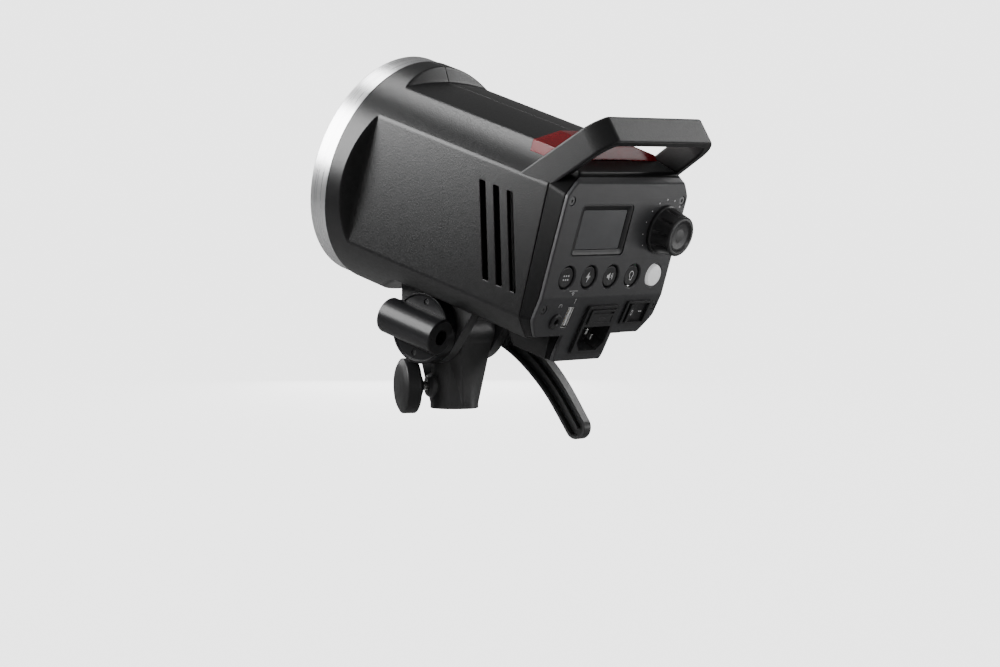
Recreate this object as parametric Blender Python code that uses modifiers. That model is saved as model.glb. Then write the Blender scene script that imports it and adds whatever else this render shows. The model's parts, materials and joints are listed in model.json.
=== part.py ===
"""Monolight strobe on a tilting light-stand bracket, one object for each piece.

Metres, +Z up, +Y the way the light points. The origin is the centre of the stand
socket's lower face. The lamp pieces are laid out in the lamp frame: its origin is
the centre of the mount ring's front face, its Y axis is the light's axis, and it
hangs on the tilt pivot, nose up by TILT.
"""
import math

import bmesh
import bpy
from mathutils import Matrix, Vector

# ---- driving dimensions ---------------------------------------------------
GAP = 0.0003                  # clearance between pieces that touch
TILT = math.radians(17.84)    # nose-up angle at rest
PIVOT_Z = 0.050               # tilt axis above the socket's lower face
RING_FROM_PIVOT = Vector((0.0, 0.0795, 0.0778))   # ring centre from the pivot, lamp frame

RING_R = 0.070                # mount ring, outside
RING_DEPTH = 0.0126
BODY_R = 0.0703               # round part of the housing
WALL = 0.0025
SIDE_X = 0.058                # side flats
TOP_EDGE_Z = 0.058            # crowned top flat, at its edges and along its middle
TOP_MID_Z = 0.0620
BELLY_Z = -0.0530             # belly flat
SIDE_FRONT_Y = -0.0295        # front end of the side flats
TOP_FRONT_Y = -0.0303
BELLY_FRONT_Y = -0.0626
SEAM_Y = -0.1651              # seam to the rear cover, at the light's axis
SEAM_LEAN = 0.041             # the seam's change of y with z
KEEL_X = 0.024                # keel under the rear end
KEEL_Z = -0.0666
KEEL_FRONT_Y = -0.143

PANEL_Y = -0.18065            # rear face of the control panel
PANEL_BREAK_Z = -0.0243       # below this the panel slants forward
PANEL_SLANT = math.radians(10.0)
PANEL_T = 0.0025

COVER_FRONT_Y = -0.1318       # red sensor cover
COVER_X = 0.0477
COVER_LOW_Z = 0.0517
COVER_TOP_Z = 0.0644

BUTTON_X = (-0.0406, -0.0192, 0.0022, 0.0236, 0.0450)
BUTTON_Z = -0.0117
BUTTON_R = 0.0067
BUTTON_NAMES = ("group_button", "slave_button", "beep_button", "lamp_button", "test_button")
DIAL_X, DIAL_Z = 0.0415, 0.0172
DIAL_R, DIAL_NOSE_R, DIAL_LENGTH = 0.0150, 0.0122, 0.0146
SCREEN_X, SCREEN_Z = -0.0180, 0.0172
SCREEN_W, SCREEN_H, SCREEN_DEPTH = 0.0430, 0.0244, 0.0012
INLET_X, INLET_Z, INLET_W, INLET_H = 0.0033, -0.0455, 0.0304, 0.0320
ROCKER_X, ROCKER_Z, ROCKER_W, ROCKER_H = 0.0383, -0.0353, 0.0245, 0.0156
JACK_X, JACK_Z = -0.0380, -0.0394
USB_X, USB_Z = -0.0270, -0.0373
PANEL_SCREWS = ((-0.0546, 0.0350), (0.0546, 0.0350), (-0.0535, -0.0315), (0.0555, -0.0315))
SCREW_R = 0.0026

EAR_R = 0.0217                # head bracket ears and umbrella cap
EAR_IN_X, EAR_OUT_X = 0.0155, 0.0240
EAR_FLARE = math.radians(17.8)
BRIDGE_START = 30.0             # degrees up from level where the web between the ears begins
CAP_X = 0.0335
TUBE_R, TUBE_BORE_R, TUBE_LENGTH = 0.0110, 0.00475, 0.0430
TUBE_X, TUBE_DROP = -0.0385, 0.0013
BOLT_R, BOLT_HOLE_R = 0.0040, 0.0043

BARREL_R, BARREL_X = 0.0210, 0.0142
SOCKET_R, SOCKET_BORE_R, SOCKET_BORE_DEPTH = 0.0147, 0.00815, 0.030
CLAMP_Z = 0.0140              # clamp knob's axis above the socket's lower face
CLAMP_TURN = math.radians(144.0)   # its direction, from +X towards +Y
BOSS_R, BOSS_END = 0.0078, 0.0178
KNOB_R, KNOB_IN, KNOB_OUT = 0.0168, 0.0238, 0.0365

LEVER_X, LEVER_T = 0.0246, 0.0100
LEVER_HUB_R, LEVER_HALF_W = 0.0160, 0.0073

ROUND = 48                    # segments of large, middle and small circles
MIDDLE = 32
SMALL = 16


# ---- scene, collections, materials ---------------------------------------
def clear_scene():
    for obj in list(bpy.data.objects):
        bpy.data.objects.remove(obj, do_unlink=True)


def new_collection(name):
    group = bpy.data.collections.get(name) or bpy.data.collections.new(name)
    if group.name not in bpy.context.scene.collection.children:
        bpy.context.scene.collection.children.link(group)
    return group


def new_material(name, colour, roughness, metallic=0.0, transmission=0.0):
    material = bpy.data.materials.new(name)
    material.use_nodes = True
    shader = material.node_tree.nodes["Principled BSDF"]
    shader.inputs["Base Color"].default_value = (*colour, 1.0)
    shader.inputs["Roughness"].default_value = roughness
    shader.inputs["Metallic"].default_value = metallic
    shader.inputs["Transmission Weight"].default_value = transmission
    return material


# ---- modelling helpers ----------------------------------------------------
def keep(obj, material, parent, location=(0.0, 0.0, 0.0)):
    """File a finished piece in the object's collection, under its parent."""
    for group in list(obj.users_collection):
        group.objects.unlink(obj)
    PARTS.objects.link(obj)
    obj.parent = parent
    obj.location = location
    obj.data.materials.clear()
    obj.data.materials.append(material)
    obj.data.shade_smooth()
    obj.data.set_sharp_from_angle(angle=math.radians(35.0))
    return obj


def as_tool(obj):
    """File a cutter or a joined shape with the cutters."""
    for group in list(obj.users_collection):
        group.objects.unlink(obj)
    CUTTERS.objects.link(obj)
    obj.hide_render = True
    obj.display_type = "WIRE"
    return obj


def mesh_object(name, bm):
    mesh = bpy.data.meshes.new(name)
    bm.to_mesh(mesh)
    bm.free()
    obj = bpy.data.objects.new(name, mesh)
    bpy.context.scene.collection.objects.link(obj)
    return obj


def boolean(obj, tool, operation):
    modifier = obj.modifiers.new(operation.title() + "_" + tool.name, "BOOLEAN")
    modifier.operation = operation
    modifier.solver = "EXACT"
    modifier.object = tool


def cut(obj, *tools):
    for tool in tools:
        boolean(obj, as_tool(tool), "DIFFERENCE")


def join(obj, *tools):
    for tool in tools:
        boolean(obj, as_tool(tool), "UNION")


def common(obj, tool):
    boolean(obj, as_tool(tool), "INTERSECT")


def applied(obj):
    """The same object with its modifiers or curve settings turned into plain mesh."""
    bpy.context.view_layer.update()
    graph = bpy.context.evaluated_depsgraph_get()
    mesh = bpy.data.meshes.new_from_object(obj.evaluated_get(graph))
    bm = bmesh.new()
    bm.from_mesh(mesh)
    bmesh.ops.remove_doubles(bm, verts=bm.verts, dist=1e-6)
    bm.to_mesh(mesh)
    bm.free()
    solid = bpy.data.objects.new(obj.name, mesh)
    solid.matrix_world = obj.matrix_world
    bpy.context.scene.collection.objects.link(solid)
    name = obj.name
    bpy.data.objects.remove(obj, do_unlink=True)
    solid.name = name
    return solid


PLANES = {
    "XY": Matrix(((1, 0, 0), (0, 1, 0), (0, 0, 1))),
    "XZ": Matrix(((1, 0, 0), (0, 0, -1), (0, 1, 0))),
    "YZ": Matrix(((0, 0, 1), (1, 0, 0), (0, 1, 0))),
}


def prism(name, loops, plane, low, high):
    """Flat outline in a plane, with any holes, extruded across it from low to high."""
    curve = bpy.data.curves.new(name, "CURVE")
    curve.dimensions = "2D"
    curve.fill_mode = "BOTH"
    curve.extrude = (high - low) / 2
    for loop in loops:
        spline = curve.splines.new("POLY")
        spline.points.add(len(loop) - 1)
        for point, (u, v) in zip(spline.points, loop):
            point.co = (u, v, 0.0, 1.0)
        spline.use_cyclic_u = True
    obj = bpy.data.objects.new(name, curve)
    bpy.context.scene.collection.objects.link(obj)
    solid = applied(obj)
    turn = PLANES[plane]
    middle = turn @ Vector((0.0, 0.0, 1.0)) * ((low + high) / 2)
    if plane == "XZ":
        middle = -middle
    solid.data.transform(Matrix.Translation(middle) @ turn.to_4x4())
    return solid


def box(name, low, high, bevel=0.0):
    """Rectangular block between two corners, with rounded edges if bevel is given."""
    bm = bmesh.new()
    bmesh.ops.create_cube(bm, size=1.0)
    low, high = Vector(low), Vector(high)
    bmesh.ops.scale(bm, vec=high - low, verts=bm.verts)
    bmesh.ops.translate(bm, vec=(low + high) / 2, verts=bm.verts)
    obj = mesh_object(name, bm)
    if bevel:
        soften(obj, bevel)
    return obj


def soften(obj, width, segments=2, angle=40.0):
    bevel = obj.modifiers.new("Bevel", "BEVEL")
    bevel.width = width
    bevel.segments = segments
    bevel.limit_method = "ANGLE"
    bevel.angle_limit = math.radians(angle)


def rod(name, centre, axis, radius, low, high, end_radius=None, segments=MIDDLE):
    """Cylinder or cone along axis, from low to high measured from centre."""
    bm = bmesh.new()
    bmesh.ops.create_cone(
        bm, cap_ends=True, segments=segments, radius1=radius,
        radius2=radius if end_radius is None else end_radius, depth=high - low)
    axis = Vector(axis).normalized()
    middle = Vector(centre) + axis * ((low + high) / 2)
    turn = axis.to_track_quat("Z", "Y").to_matrix().to_4x4()
    bmesh.ops.transform(bm, matrix=Matrix.Translation(middle) @ turn, verts=bm.verts)
    return mesh_object(name, bm)


def turned(name, profile, axis, centre=(0.0, 0.0, 0.0), steps=ROUND, closed=True):
    """Profile of (radius, height) turned about axis; it runs down its outer side."""
    bm = bmesh.new()
    corners = [bm.verts.new((radius, 0.0, height)) for radius, height in profile]
    for first, second in zip(corners, corners[1:]):
        bm.edges.new((first, second))
    if closed:
        bm.edges.new((corners[-1], corners[0]))
    obj = mesh_object(name, bm)
    screw = obj.modifiers.new("Screw", "SCREW")
    screw.steps = steps
    screw.render_steps = steps
    screw.use_merge_vertices = True
    screw.merge_threshold = 0.00001
    solid = applied(obj)
    turn = Vector(axis).normalized().to_track_quat("Z", "Y").to_matrix().to_4x4()
    solid.data.transform(Matrix.Translation(centre) @ turn)
    return solid


def arc(centre, radius, start, end, steps):
    """Points along an arc in a plane, both ends included, angles in degrees."""
    points = []
    for step in range(steps + 1):
        angle = math.radians(start + (end - start) * step / steps)
        points.append((centre[0] + radius * math.cos(angle),
                       centre[1] + radius * math.sin(angle)))
    return points


def rounded(width, height, radius, centre=(0.0, 0.0), steps=3):
    """Outline of a rectangle with round corners."""
    u, v = width / 2 - radius, height / 2 - radius
    corners = ((u, v, 0), (-u, v, 90), (-u, -v, 180), (u, -v, 270))
    points = []
    for cu, cv, start in corners:
        points += arc((centre[0] + cu, centre[1] + cv), radius, start, start + 90, steps)
    return points


def slanted(obj):
    """Move a shape drawn on the panel's upper plane to its slanted lower part."""
    hinge = Vector((0.0, PANEL_Y, PANEL_BREAK_Z))
    turn = Matrix.Rotation(PANEL_SLANT, 4, "X")
    obj.data.transform(Matrix.Translation(hinge) @ turn @ Matrix.Translation(-hinge))
    return obj


# ---- housing --------------------------------------------------------------
def top_height(x, inset):
    """Height of the crowned top flat at x."""
    return TOP_MID_Z - inset - (TOP_MID_Z - TOP_EDGE_Z) * (x / 0.0397) ** 2


def side_cutter(name, side, inset):
    face = SIDE_X - inset
    slope = 0.0125 / 0.0055
    front = SIDE_FRONT_Y + 0.3 * inset
    reach = 0.090
    outline = [(face, front), (reach, front + (reach - face) / slope),
               (reach, -0.200), (face, -0.200)]
    if side < 0:
        outline = [(-u, v) for u, v in reversed(outline)]
    return prism(name, [outline], "XY", -0.080, 0.080)


def top_cutter(name, inset):
    steps = 10
    floor = []
    for step in range(steps + 1):
        x = -0.052 + 0.104 * step / steps
        floor.append((x, top_height(x, inset)))
    obj = prism(name, [floor + [(0.052, 0.090), (-0.052, 0.090)]], "XZ", -0.200, TOP_FRONT_Y)
    for vertex in obj.data.vertices:
        if vertex.co.y > -0.1 and vertex.co.z > 0.085:
            vertex.co.y += 0.0215
    return obj


def belly_cutter(name, inset):
    outline = [(BELLY_FRONT_Y + inset, BELLY_Z + inset), (-0.200, BELLY_Z + inset),
               (-0.200, -0.090), (BELLY_FRONT_Y + inset + 0.0665, -0.090)]
    return prism(name, [outline], "YZ", -0.080, 0.080)


def keel(name, inset):
    low = KEEL_Z + inset
    outline = [(KEEL_FRONT_Y + 0.0135 - inset, BELLY_Z + 0.004), (-0.176, BELLY_Z + 0.004),
               (-0.176, low), (KEEL_FRONT_Y - inset, low),
               (KEEL_FRONT_Y + 0.0125 - inset, BELLY_Z + inset)]
    obj = prism(name, [outline], "YZ", -KEEL_X + inset, KEEL_X - inset)
    return obj


def housing_form(name, inset, front, seam=None):
    """Closed outer or inner shape of the whole housing, before it is split."""
    obj = rod(name, (0, 0, 0), (0, 1, 0), BODY_R - inset, -0.176, front, segments=64)
    tools = [side_cutter(name + "_left", -1, inset), side_cutter(name + "_right", 1, inset),
             top_cutter(name + "_top", inset), belly_cutter(name + "_belly", inset)]
    for tool in tools:
        boolean(obj, tool, "DIFFERENCE")
    tools.append(keel(name + "_keel", inset))
    boolean(obj, tools[-1], "UNION")
    if seam is not None:
        outline = [(seam + SEAM_LEAN * 0.1, 0.1), (-0.200, 0.1), (-0.200, -0.1),
                   (seam - SEAM_LEAN * 0.1, -0.1)]
        tools.append(prism(name + "_seam", [outline], "YZ", -0.1, 0.1))
        boolean(obj, tools[-1], "DIFFERENCE")
    solid = applied(obj)
    for tool in tools:
        bpy.data.objects.remove(tool, do_unlink=True)
    return solid


def vent_cutters(side):
    """Three slots through one side wall, leaning back towards their lower ends."""
    tools = []
    for index in range(3):
        top = -0.1167 - 0.0106 * index
        outline = [(top + 0.0026, 0.0277), (top - 0.0026, 0.0277),
                   (top - 0.0226, -0.0280), (top - 0.0174, -0.0280)]
        low, high = (SIDE_X - 0.006, SIDE_X + 0.004)
        if side < 0:
            low, high = -high, -low
        tools.append(prism("vent_cutter", [outline], "YZ", low, high))
    return tools


def cover_plan(grow):
    """Plan outline of the sensor cover, or of its opening when grow is positive."""
    wide, front = COVER_X + grow, COVER_FRONT_Y + grow
    return [(-wide, front - 0.0050), (-0.0406, front), (0.0406, front),
            (wide, front - 0.0050), (wide, -0.172), (-wide, -0.172)]


def build_housing(material, lamp):
    for side, name in ((-1, "housing_left"), (1, "housing_right")):
        half = housing_form(name, 0.0, -RING_DEPTH - GAP, SEAM_Y)
        low, high = ((-GAP / 2, 0.09) if side < 0 else (-0.09, GAP / 2))
        cut(half, housing_form(name + "_hollow", WALL, -0.002),
            box(name + "_split", (low, -0.20, -0.09), (high, 0.01, 0.09)),
            prism(name + "_opening", [cover_plan(0.0)], "XY", COVER_LOW_Z, 0.09),
            *vent_cutters(side))
        keep(half, material, lamp)


def build_sensor_cover(material, dark, lamp):
    """Red shell that fills the opening in the top, and stands a little above it."""
    def section(inset):
        wide = COVER_X - GAP - inset
        top = COVER_TOP_Z - inset
        return [(-wide, COVER_LOW_Z + GAP - 2 * inset), (wide, COVER_LOW_Z + GAP - 2 * inset),
                (wide, COVER_LOW_Z + GAP - inset * 0.4), (0.0406 - inset * 0.5, 0.0574 - inset),
                (0.017, top), (-0.017, top), (-0.0406 + inset * 0.5, 0.0574 - inset),
                (-wide, COVER_LOW_Z + GAP - inset * 0.4)]
    shell = prism("sensor_cover", [section(0.0)], "XZ", -0.1625, -0.120)
    common(shell, prism("sensor_cover_plan", [cover_plan(-GAP)], "XY", 0.03, 0.09))
    cut(shell, prism("sensor_cover_hollow", [section(0.0022)], "XZ", -0.1605, -0.1395))
    keep(shell, material, lamp)
    sensor = box("slave_sensor", (-0.006, -0.152, 0.0500), (0.006, -0.146, 0.0600), 0.001)
    keep(sensor, dark, lamp)


# ---- front end ------------------------------------------------------------
def build_front(m, lamp):
    ring = turned("mount_ring", [(0.0640, 0.0), (0.0694, 0.0), (RING_R, -0.0006),
                                 (0.06966, -RING_DEPTH), (0.0640, -RING_DEPTH)], (0, 1, 0),
                  steps=64)
    keep(ring, m["ring"], lamp)
    plate = turned("lamp_plate", [(0.0420, -0.0090), (0.0637, -0.0090), (0.0637, -0.0129),
                                  (0.0672, -0.0129), (0.0672, -0.0150), (0.0420, -0.0150)],
                   (0, 1, 0))
    for index in range(3):
        middle = 90.0 + 120.0 * index
        loop = arc((0, 0), 0.0545, middle - 16, middle + 16, 6)
        loop += arc((0, 0), 0.0475, middle + 16, middle - 16, 6)
        cut(plate, prism(f"claw_slot_{index}", [loop], "XZ", -0.02, 0.0))
    cut(plate, box("latch_slot", (0.0570, -0.02, -0.0030), (0.0625, 0.0, 0.0090)))
    keep(plate, m["black"], lamp)
    latch = box("latch_slide", (0.0573, -0.0145, -0.0026), (0.0622, -0.0060, 0.0030), 0.0006)
    keep(latch, m["dark"], lamp)
    pan = turned("reflector_pan",
                 [(0.0180, -0.0430), (0.0260, -0.0430), (0.0340, -0.0330), (0.0395, -0.0155),
                  (0.0417, -0.0155), (0.0417, -0.0165), (0.0403, -0.0170), (0.0352, -0.0342),
                  (0.0270, -0.0442), (0.0180, -0.0442)], (0, 1, 0))
    keep(pan, m["pan"], lamp)
    socket = turned("tube_socket", [(0.0, -0.0385), (0.0175, -0.0385), (0.0175, -0.0446),
                                    (0.0300, -0.0446), (0.0300, -0.0520), (0.0, -0.0520)],
                    (0, 1, 0), closed=False)
    keep(socket, m["ceramic"], lamp)
    bm = bmesh.new()
    bmesh.ops.create_circle(bm, cap_ends=False, segments=10, radius=0.0042)
    bmesh.ops.rotate(bm, verts=bm.verts, cent=(0, 0, 0), matrix=Matrix.Rotation(math.pi / 2, 3, "X"))
    bmesh.ops.translate(bm, verts=bm.verts, vec=(0.0215, 0, 0))
    tube = mesh_object("flash_tube", bm)
    screw = tube.modifiers.new("Screw", "SCREW")
    screw.steps = 36
    screw.render_steps = 36
    screw.use_merge_vertices = True
    screw.merge_threshold = 0.00001
    tube = applied(tube)
    tube.data.transform(Matrix.Translation((0, -0.0300, 0)) @ Matrix.Rotation(-math.pi / 2, 4, "X"))
    for index, x in enumerate((-0.0215, 0.0215)):
        join(tube, rod(f"tube_leg_{index}", (x, 0, 0), (0, 1, 0), 0.0030, -0.0427, -0.0300,
                       segments=12))
    keep(tube, m["glass"], lamp)
    lamp_led = turned("modelling_lamp", [(0.0, -0.0262), (0.0060, -0.0272), (0.0105, -0.0300),
                                         (0.0120, -0.0340), (0.0120, -0.0382), (0.0, -0.0382)],
                      (0, 1, 0), closed=False, steps=MIDDLE)
    keep(lamp_led, m["frosted"], lamp)


# ---- inside ---------------------------------------------------------------
def build_inside(m, lamp):
    sink = box("heat_sink", (-0.024, -0.078, -0.024), (0.024, -0.0525, 0.024))
    for index in range(6):
        x = -0.0195 + 0.0078 * index
        cut(sink, box(f"sink_slot_{index}", (x - 0.0024, -0.09, -0.03), (x + 0.0024, -0.058, 0.03)))
    keep(sink, m["ring"], lamp)
    frame = box("fan_frame", (-0.030, -0.098, -0.025), (0.030, -0.083, 0.035))
    hub = (0.0, 0.0, 0.005)
    cut(frame, rod("fan_duct", hub, (0, 1, 0), 0.0280, -0.12, -0.05))
    join(frame, rod("fan_hub", hub, (0, 1, 0), 0.0110, -0.0977, -0.0940, segments=24))
    for index in range(3):
        strut = box(f"fan_strut_{index}", (-0.0015, -0.0975, 0.0090), (0.0015, -0.0945, 0.0290))
        turn = Matrix.Rotation(index * math.tau / 3 + 0.47, 4, "Y")
        strut.data.transform(Matrix.Translation(hub) @ turn)
        join(frame, strut)
    keep(frame, m["black"], lamp)
    rotor = rod("fan_rotor", (0, 0, 0), (0, 1, 0), 0.0120, -0.0045, 0.0045, segments=24)
    for index in range(7):
        turn = Matrix.Rotation(index * math.tau / 7, 4, "Y")
        blade = box(f"fan_blade_{index}", (-0.0005, -0.0042, 0.0110), (0.0005, 0.0042, 0.0262))
        blade.data.transform(turn @ Matrix.Rotation(math.radians(38), 4, "Z"))
        join(rotor, blade)
    empty = axis_empty("fan_axis", lamp, (0.0, -0.0882, hub[2]))
    keep(rotor, m["dark"], empty)
    for side, name in ((-1, "capacitor_left"), (1, "capacitor_right")):
        can = rod(name, (side * 0.021, 0, -0.025), (0, 1, 0), 0.0175, -0.158, -0.103,
                  segments=MIDDLE)
        soften(can, 0.0012, 1)
        keep(can, m["can"], lamp)
    board = box("power_board", (-0.0010, -0.158, -0.0450), (0.0010, -0.103, 0.0420))
    keep(board, m["board"], lamp)
    control = box("control_board", (-0.048, -0.1695, -0.019), (0.0525, -0.1680, 0.036))
    keep(control, m["board"], lamp)


# ---- rear cover and controls ----------------------------------------------
def rear_form(name, inset, front_cut=True):
    """Shape of the rear cover with its panel: round corners, sloping top, and the chin."""
    obj = rod(name, (0, 0, 0), (0, 1, 0), BODY_R - inset, -0.200, -0.150, segments=64)
    seam, face = SEAM_Y - GAP, SIDE_X - inset
    flare = 0.0015
    tools = []
    for side in (-1, 1):
        outline = [(face, -0.140), (face, seam), (face + flare, PANEL_Y), (face + flare, -0.210),
                   (0.090, -0.210), (0.090, -0.140)]
        if side < 0:
            outline = [(-u, v) for u, v in outline]
        tools.append(prism(f"{name}_side_{side}", [outline], "XY", -0.080, 0.080))
    roof = [(-0.140, 0.0602 - inset), (-0.176, 0.0511 - inset), (PANEL_Y, 0.0457 - inset),
            (-0.210, 0.0457 - inset), (-0.210, 0.090), (-0.140, 0.090)]
    tools.append(prism(name + "_roof", [roof], "YZ", -0.080, 0.080))
    floor = [(-0.140, BELLY_Z + inset), (seam, BELLY_Z + inset), (-0.1754, -0.0493 + inset),
             (-0.210, -0.0493 + inset), (-0.210, -0.090), (-0.140, -0.090)]
    tools.append(prism(name + "_floor", [floor], "YZ", -0.080, 0.080))
    for tool in tools:
        boolean(obj, tool, "DIFFERENCE")
    low, wide, corner = KEEL_Z + inset, KEEL_X - inset, 0.0050
    chin = [(-wide, -0.040), (-wide, low + corner), (-wide + corner, low), (wide - corner, low),
            (wide, low + corner), (wide, -0.040)]
    tools.append(prism(name + "_chin", [chin], "XZ", -0.199, -0.151))
    boolean(obj, tools[-1], "UNION")
    if front_cut:
        lean = SEAM_LEAN * 0.1
        outline = [(seam + lean, 0.1), (-0.100, 0.1), (-0.100, -0.1), (seam - lean, -0.1)]
        tools.append(prism(name + "_seam", [outline], "YZ", -0.1, 0.1))
        boolean(obj, tools[-1], "DIFFERENCE")
    solid = applied(obj)
    for tool in tools:
        bpy.data.objects.remove(tool, do_unlink=True)
    return solid


def panel_slab(name, front, rear):
    """Sheet that follows the panel's bend, between two depths from its rear face."""
    low = -0.090
    slant = math.tan(PANEL_SLANT)
    def line(depth):
        y = PANEL_Y + depth
        return [(y, 0.090), (y, PANEL_BREAK_Z), (y + (PANEL_BREAK_Z - low) * slant, low)]
    return prism(name, [line(rear) + line(front)[::-1]], "YZ", -0.070, 0.070)


def inlet_outline(width, height, chamfer, grow=0.0):
    """Mains inlet opening: a rectangle with its two lower corners cut."""
    u, top, low = width / 2 + grow, INLET_Z + 0.0022 + grow, INLET_Z + 0.0022 - height - grow
    cx = INLET_X
    return [(cx - u, top), (cx - u, low + chamfer), (cx - u + chamfer, low),
            (cx + u - chamfer, low), (cx + u, low + chamfer), (cx + u, top)]


def build_rear(m, lamp):
    cover = rear_form("rear_cover", 0.0)
    cut(cover, rear_form("rear_hollow", WALL, False),
        panel_slab("rear_trim", PANEL_T + GAP, -0.05))
    keep(cover, m["black"], lamp)
    panel = rear_form("control_panel", 0.0)
    common(panel, panel_slab("panel_sheet", PANEL_T, 0.0))
    holes = [rod(f"button_hole_{index}", (x, PANEL_Y, BUTTON_Z), (0, 1, 0), BUTTON_R + GAP * 2,
                 -0.01, 0.01, segments=24) for index, x in enumerate(BUTTON_X)]
    holes.append(rod("dial_hole", (DIAL_X, PANEL_Y, DIAL_Z), (0, 1, 0), 0.0040, -0.01, 0.01,
                     segments=SMALL))
    recess = prism("screen_recess", [rounded(SCREEN_W + 0.0085, SCREEN_H + 0.0072, 0.003,
                                             (SCREEN_X, SCREEN_Z))], "XZ",
                   PANEL_Y - 0.01, PANEL_Y + SCREEN_DEPTH)
    holes.append(recess)
    holes.append(prism("screen_hole", [rounded(SCREEN_W, SCREEN_H, 0.0015,
                                               (SCREEN_X, SCREEN_Z))], "XZ",
                       PANEL_Y - 0.01, PANEL_Y + 0.01))
    for index, (x, z) in enumerate(PANEL_SCREWS):
        hole = rod(f"screw_hole_{index}", (x, PANEL_Y, z), (0, 1, 0), SCREW_R + GAP, -0.01, 0.0016,
                   segments=SMALL)
        holes.append(slanted(hole) if z < PANEL_BREAK_Z else hole)
    low_holes = (
        rod("jack_hole", (JACK_X, PANEL_Y, JACK_Z), (0, 1, 0), 0.0037, -0.01, 0.01,
            segments=SMALL),
        box("usb_hole", (USB_X - 0.0030, PANEL_Y - 0.01, USB_Z - 0.0073),
            (USB_X + 0.0030, PANEL_Y + 0.01, USB_Z + 0.0073)),
        box("inlet_hole", (INLET_X - INLET_W / 2 + 0.0012, PANEL_Y - 0.01,
                           INLET_Z - INLET_H / 2 + 0.0012),
            (INLET_X + INLET_W / 2 - 0.0012, PANEL_Y + 0.01, INLET_Z + INLET_H / 2 - 0.0012)),
        box("rocker_hole", (ROCKER_X - ROCKER_W / 2 + 0.0012, PANEL_Y - 0.01,
                            ROCKER_Z - ROCKER_H / 2 + 0.0012),
            (ROCKER_X + ROCKER_W / 2 - 0.0012, PANEL_Y + 0.01, ROCKER_Z + ROCKER_H / 2 - 0.0012)),
    )
    holes += [slanted(hole) for hole in low_holes]
    cut(panel, *holes)
    keep(panel, m["panel"], lamp)
    for index, (x, z) in enumerate(PANEL_SCREWS):
        screw = rod(f"panel_screw_{index + 1}", (x, PANEL_Y, z), (0, 1, 0), SCREW_R, 0.0004,
                    0.0013, segments=SMALL)
        cut(screw, rod(f"screw_drive_{index}", (x, PANEL_Y, z), (0, 1, 0), 0.0011, -0.002, 0.0009,
                       segments=6))
        if z < PANEL_BREAK_Z:
            slanted(screw)
            slanted(screw.modifiers[0].object)
        keep(screw, m["screw"], lamp)
    build_screen(m, lamp)
    build_buttons(m, lamp)
    build_dial(m, lamp)
    build_ports(m, lamp)
    build_inlet(m, lamp)
    build_rocker(m, lamp)


def build_screen(m, lamp):
    y = PANEL_Y + SCREEN_DEPTH
    outline = rounded(SCREEN_W - 2 * GAP, SCREEN_H - 2 * GAP, 0.0015, (SCREEN_X, SCREEN_Z))
    window = prism("display_window", [outline], "XZ", y + 0.0001, PANEL_Y + PANEL_T)
    keep(window, m["screen"], lamp)
    module = box("display_module", (SCREEN_X - 0.0240, PANEL_Y + PANEL_T + GAP, SCREEN_Z - 0.0160),
                 (SCREEN_X + 0.0240, PANEL_Y + 0.0070, SCREEN_Z + 0.0160), 0.0005)
    keep(module, m["dark"], lamp)


def build_buttons(m, lamp):
    for name, x in zip(BUTTON_NAMES, BUTTON_X):
        lit = name == "test_button"
        head = -0.0010 if lit else 0.0008
        cap = turned(name, [(0.0, head), (BUTTON_R * 0.7, head + 0.0002),
                            (BUTTON_R - 0.0005, head + 0.0007), (BUTTON_R, head + 0.0013),
                            (BUTTON_R, 0.0050), (0.0, 0.0050)][::-1],
                     (0, 1, 0), closed=False, steps=24)
        empty = axis_empty(name + "_axis", lamp, (x, PANEL_Y, BUTTON_Z))
        keep(cap, m["test"] if lit else m["button"], empty)


def build_dial(m, lamp):
    """Fluted push-on knob; its shaft passes through the panel into the encoder."""
    empty = axis_empty("dial_axis", lamp, (DIAL_X, PANEL_Y, DIAL_Z))
    knob = turned("dial_knob",
                  [(0.0, -GAP), (DIAL_R, -GAP), (DIAL_R, -0.0020), (DIAL_R - 0.0006, -0.0026),
                   (DIAL_NOSE_R + 0.0004, -DIAL_LENGTH + 0.0014),
                   (DIAL_NOSE_R - 0.0010, -DIAL_LENGTH), (DIAL_NOSE_R - 0.0030, -DIAL_LENGTH),
                   (DIAL_NOSE_R - 0.0042, -DIAL_LENGTH + 0.0009),
                   (0.0, -DIAL_LENGTH + 0.0009)], (0, 1, 0), closed=False, steps=40)
    join(knob, rod("dial_shaft", (0, 0, 0), (0, 1, 0), 0.0030, -0.0020, 0.0064, segments=SMALL))
    for index in range(10):
        angle = index * math.tau / 10
        centre = (math.cos(angle) * (DIAL_R + 0.0012), 0.0, math.sin(angle) * (DIAL_R + 0.0012))
        tip = (math.cos(angle) * (DIAL_NOSE_R + 0.0014), -DIAL_LENGTH,
               math.sin(angle) * (DIAL_NOSE_R + 0.0014))
        axis = Vector(tip) - Vector(centre)
        cut(knob, rod(f"dial_flute_{index}", centre, axis, 0.0022, 0.0030, axis.length + 0.004,
                      segments=10))
    keep(knob, m["button"], empty)
    encoder = box("dial_encoder", (DIAL_X - 0.0062, PANEL_Y + PANEL_T + GAP, DIAL_Z - 0.0062),
                  (DIAL_X + 0.0062, PANEL_Y + 0.0105, DIAL_Z + 0.0062), 0.0006)
    cut(encoder, rod("encoder_bore", (DIAL_X, PANEL_Y, DIAL_Z), (0, 1, 0), 0.0033, 0.0, 0.0070,
                     segments=SMALL))
    keep(encoder, m["dark"], lamp)


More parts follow.
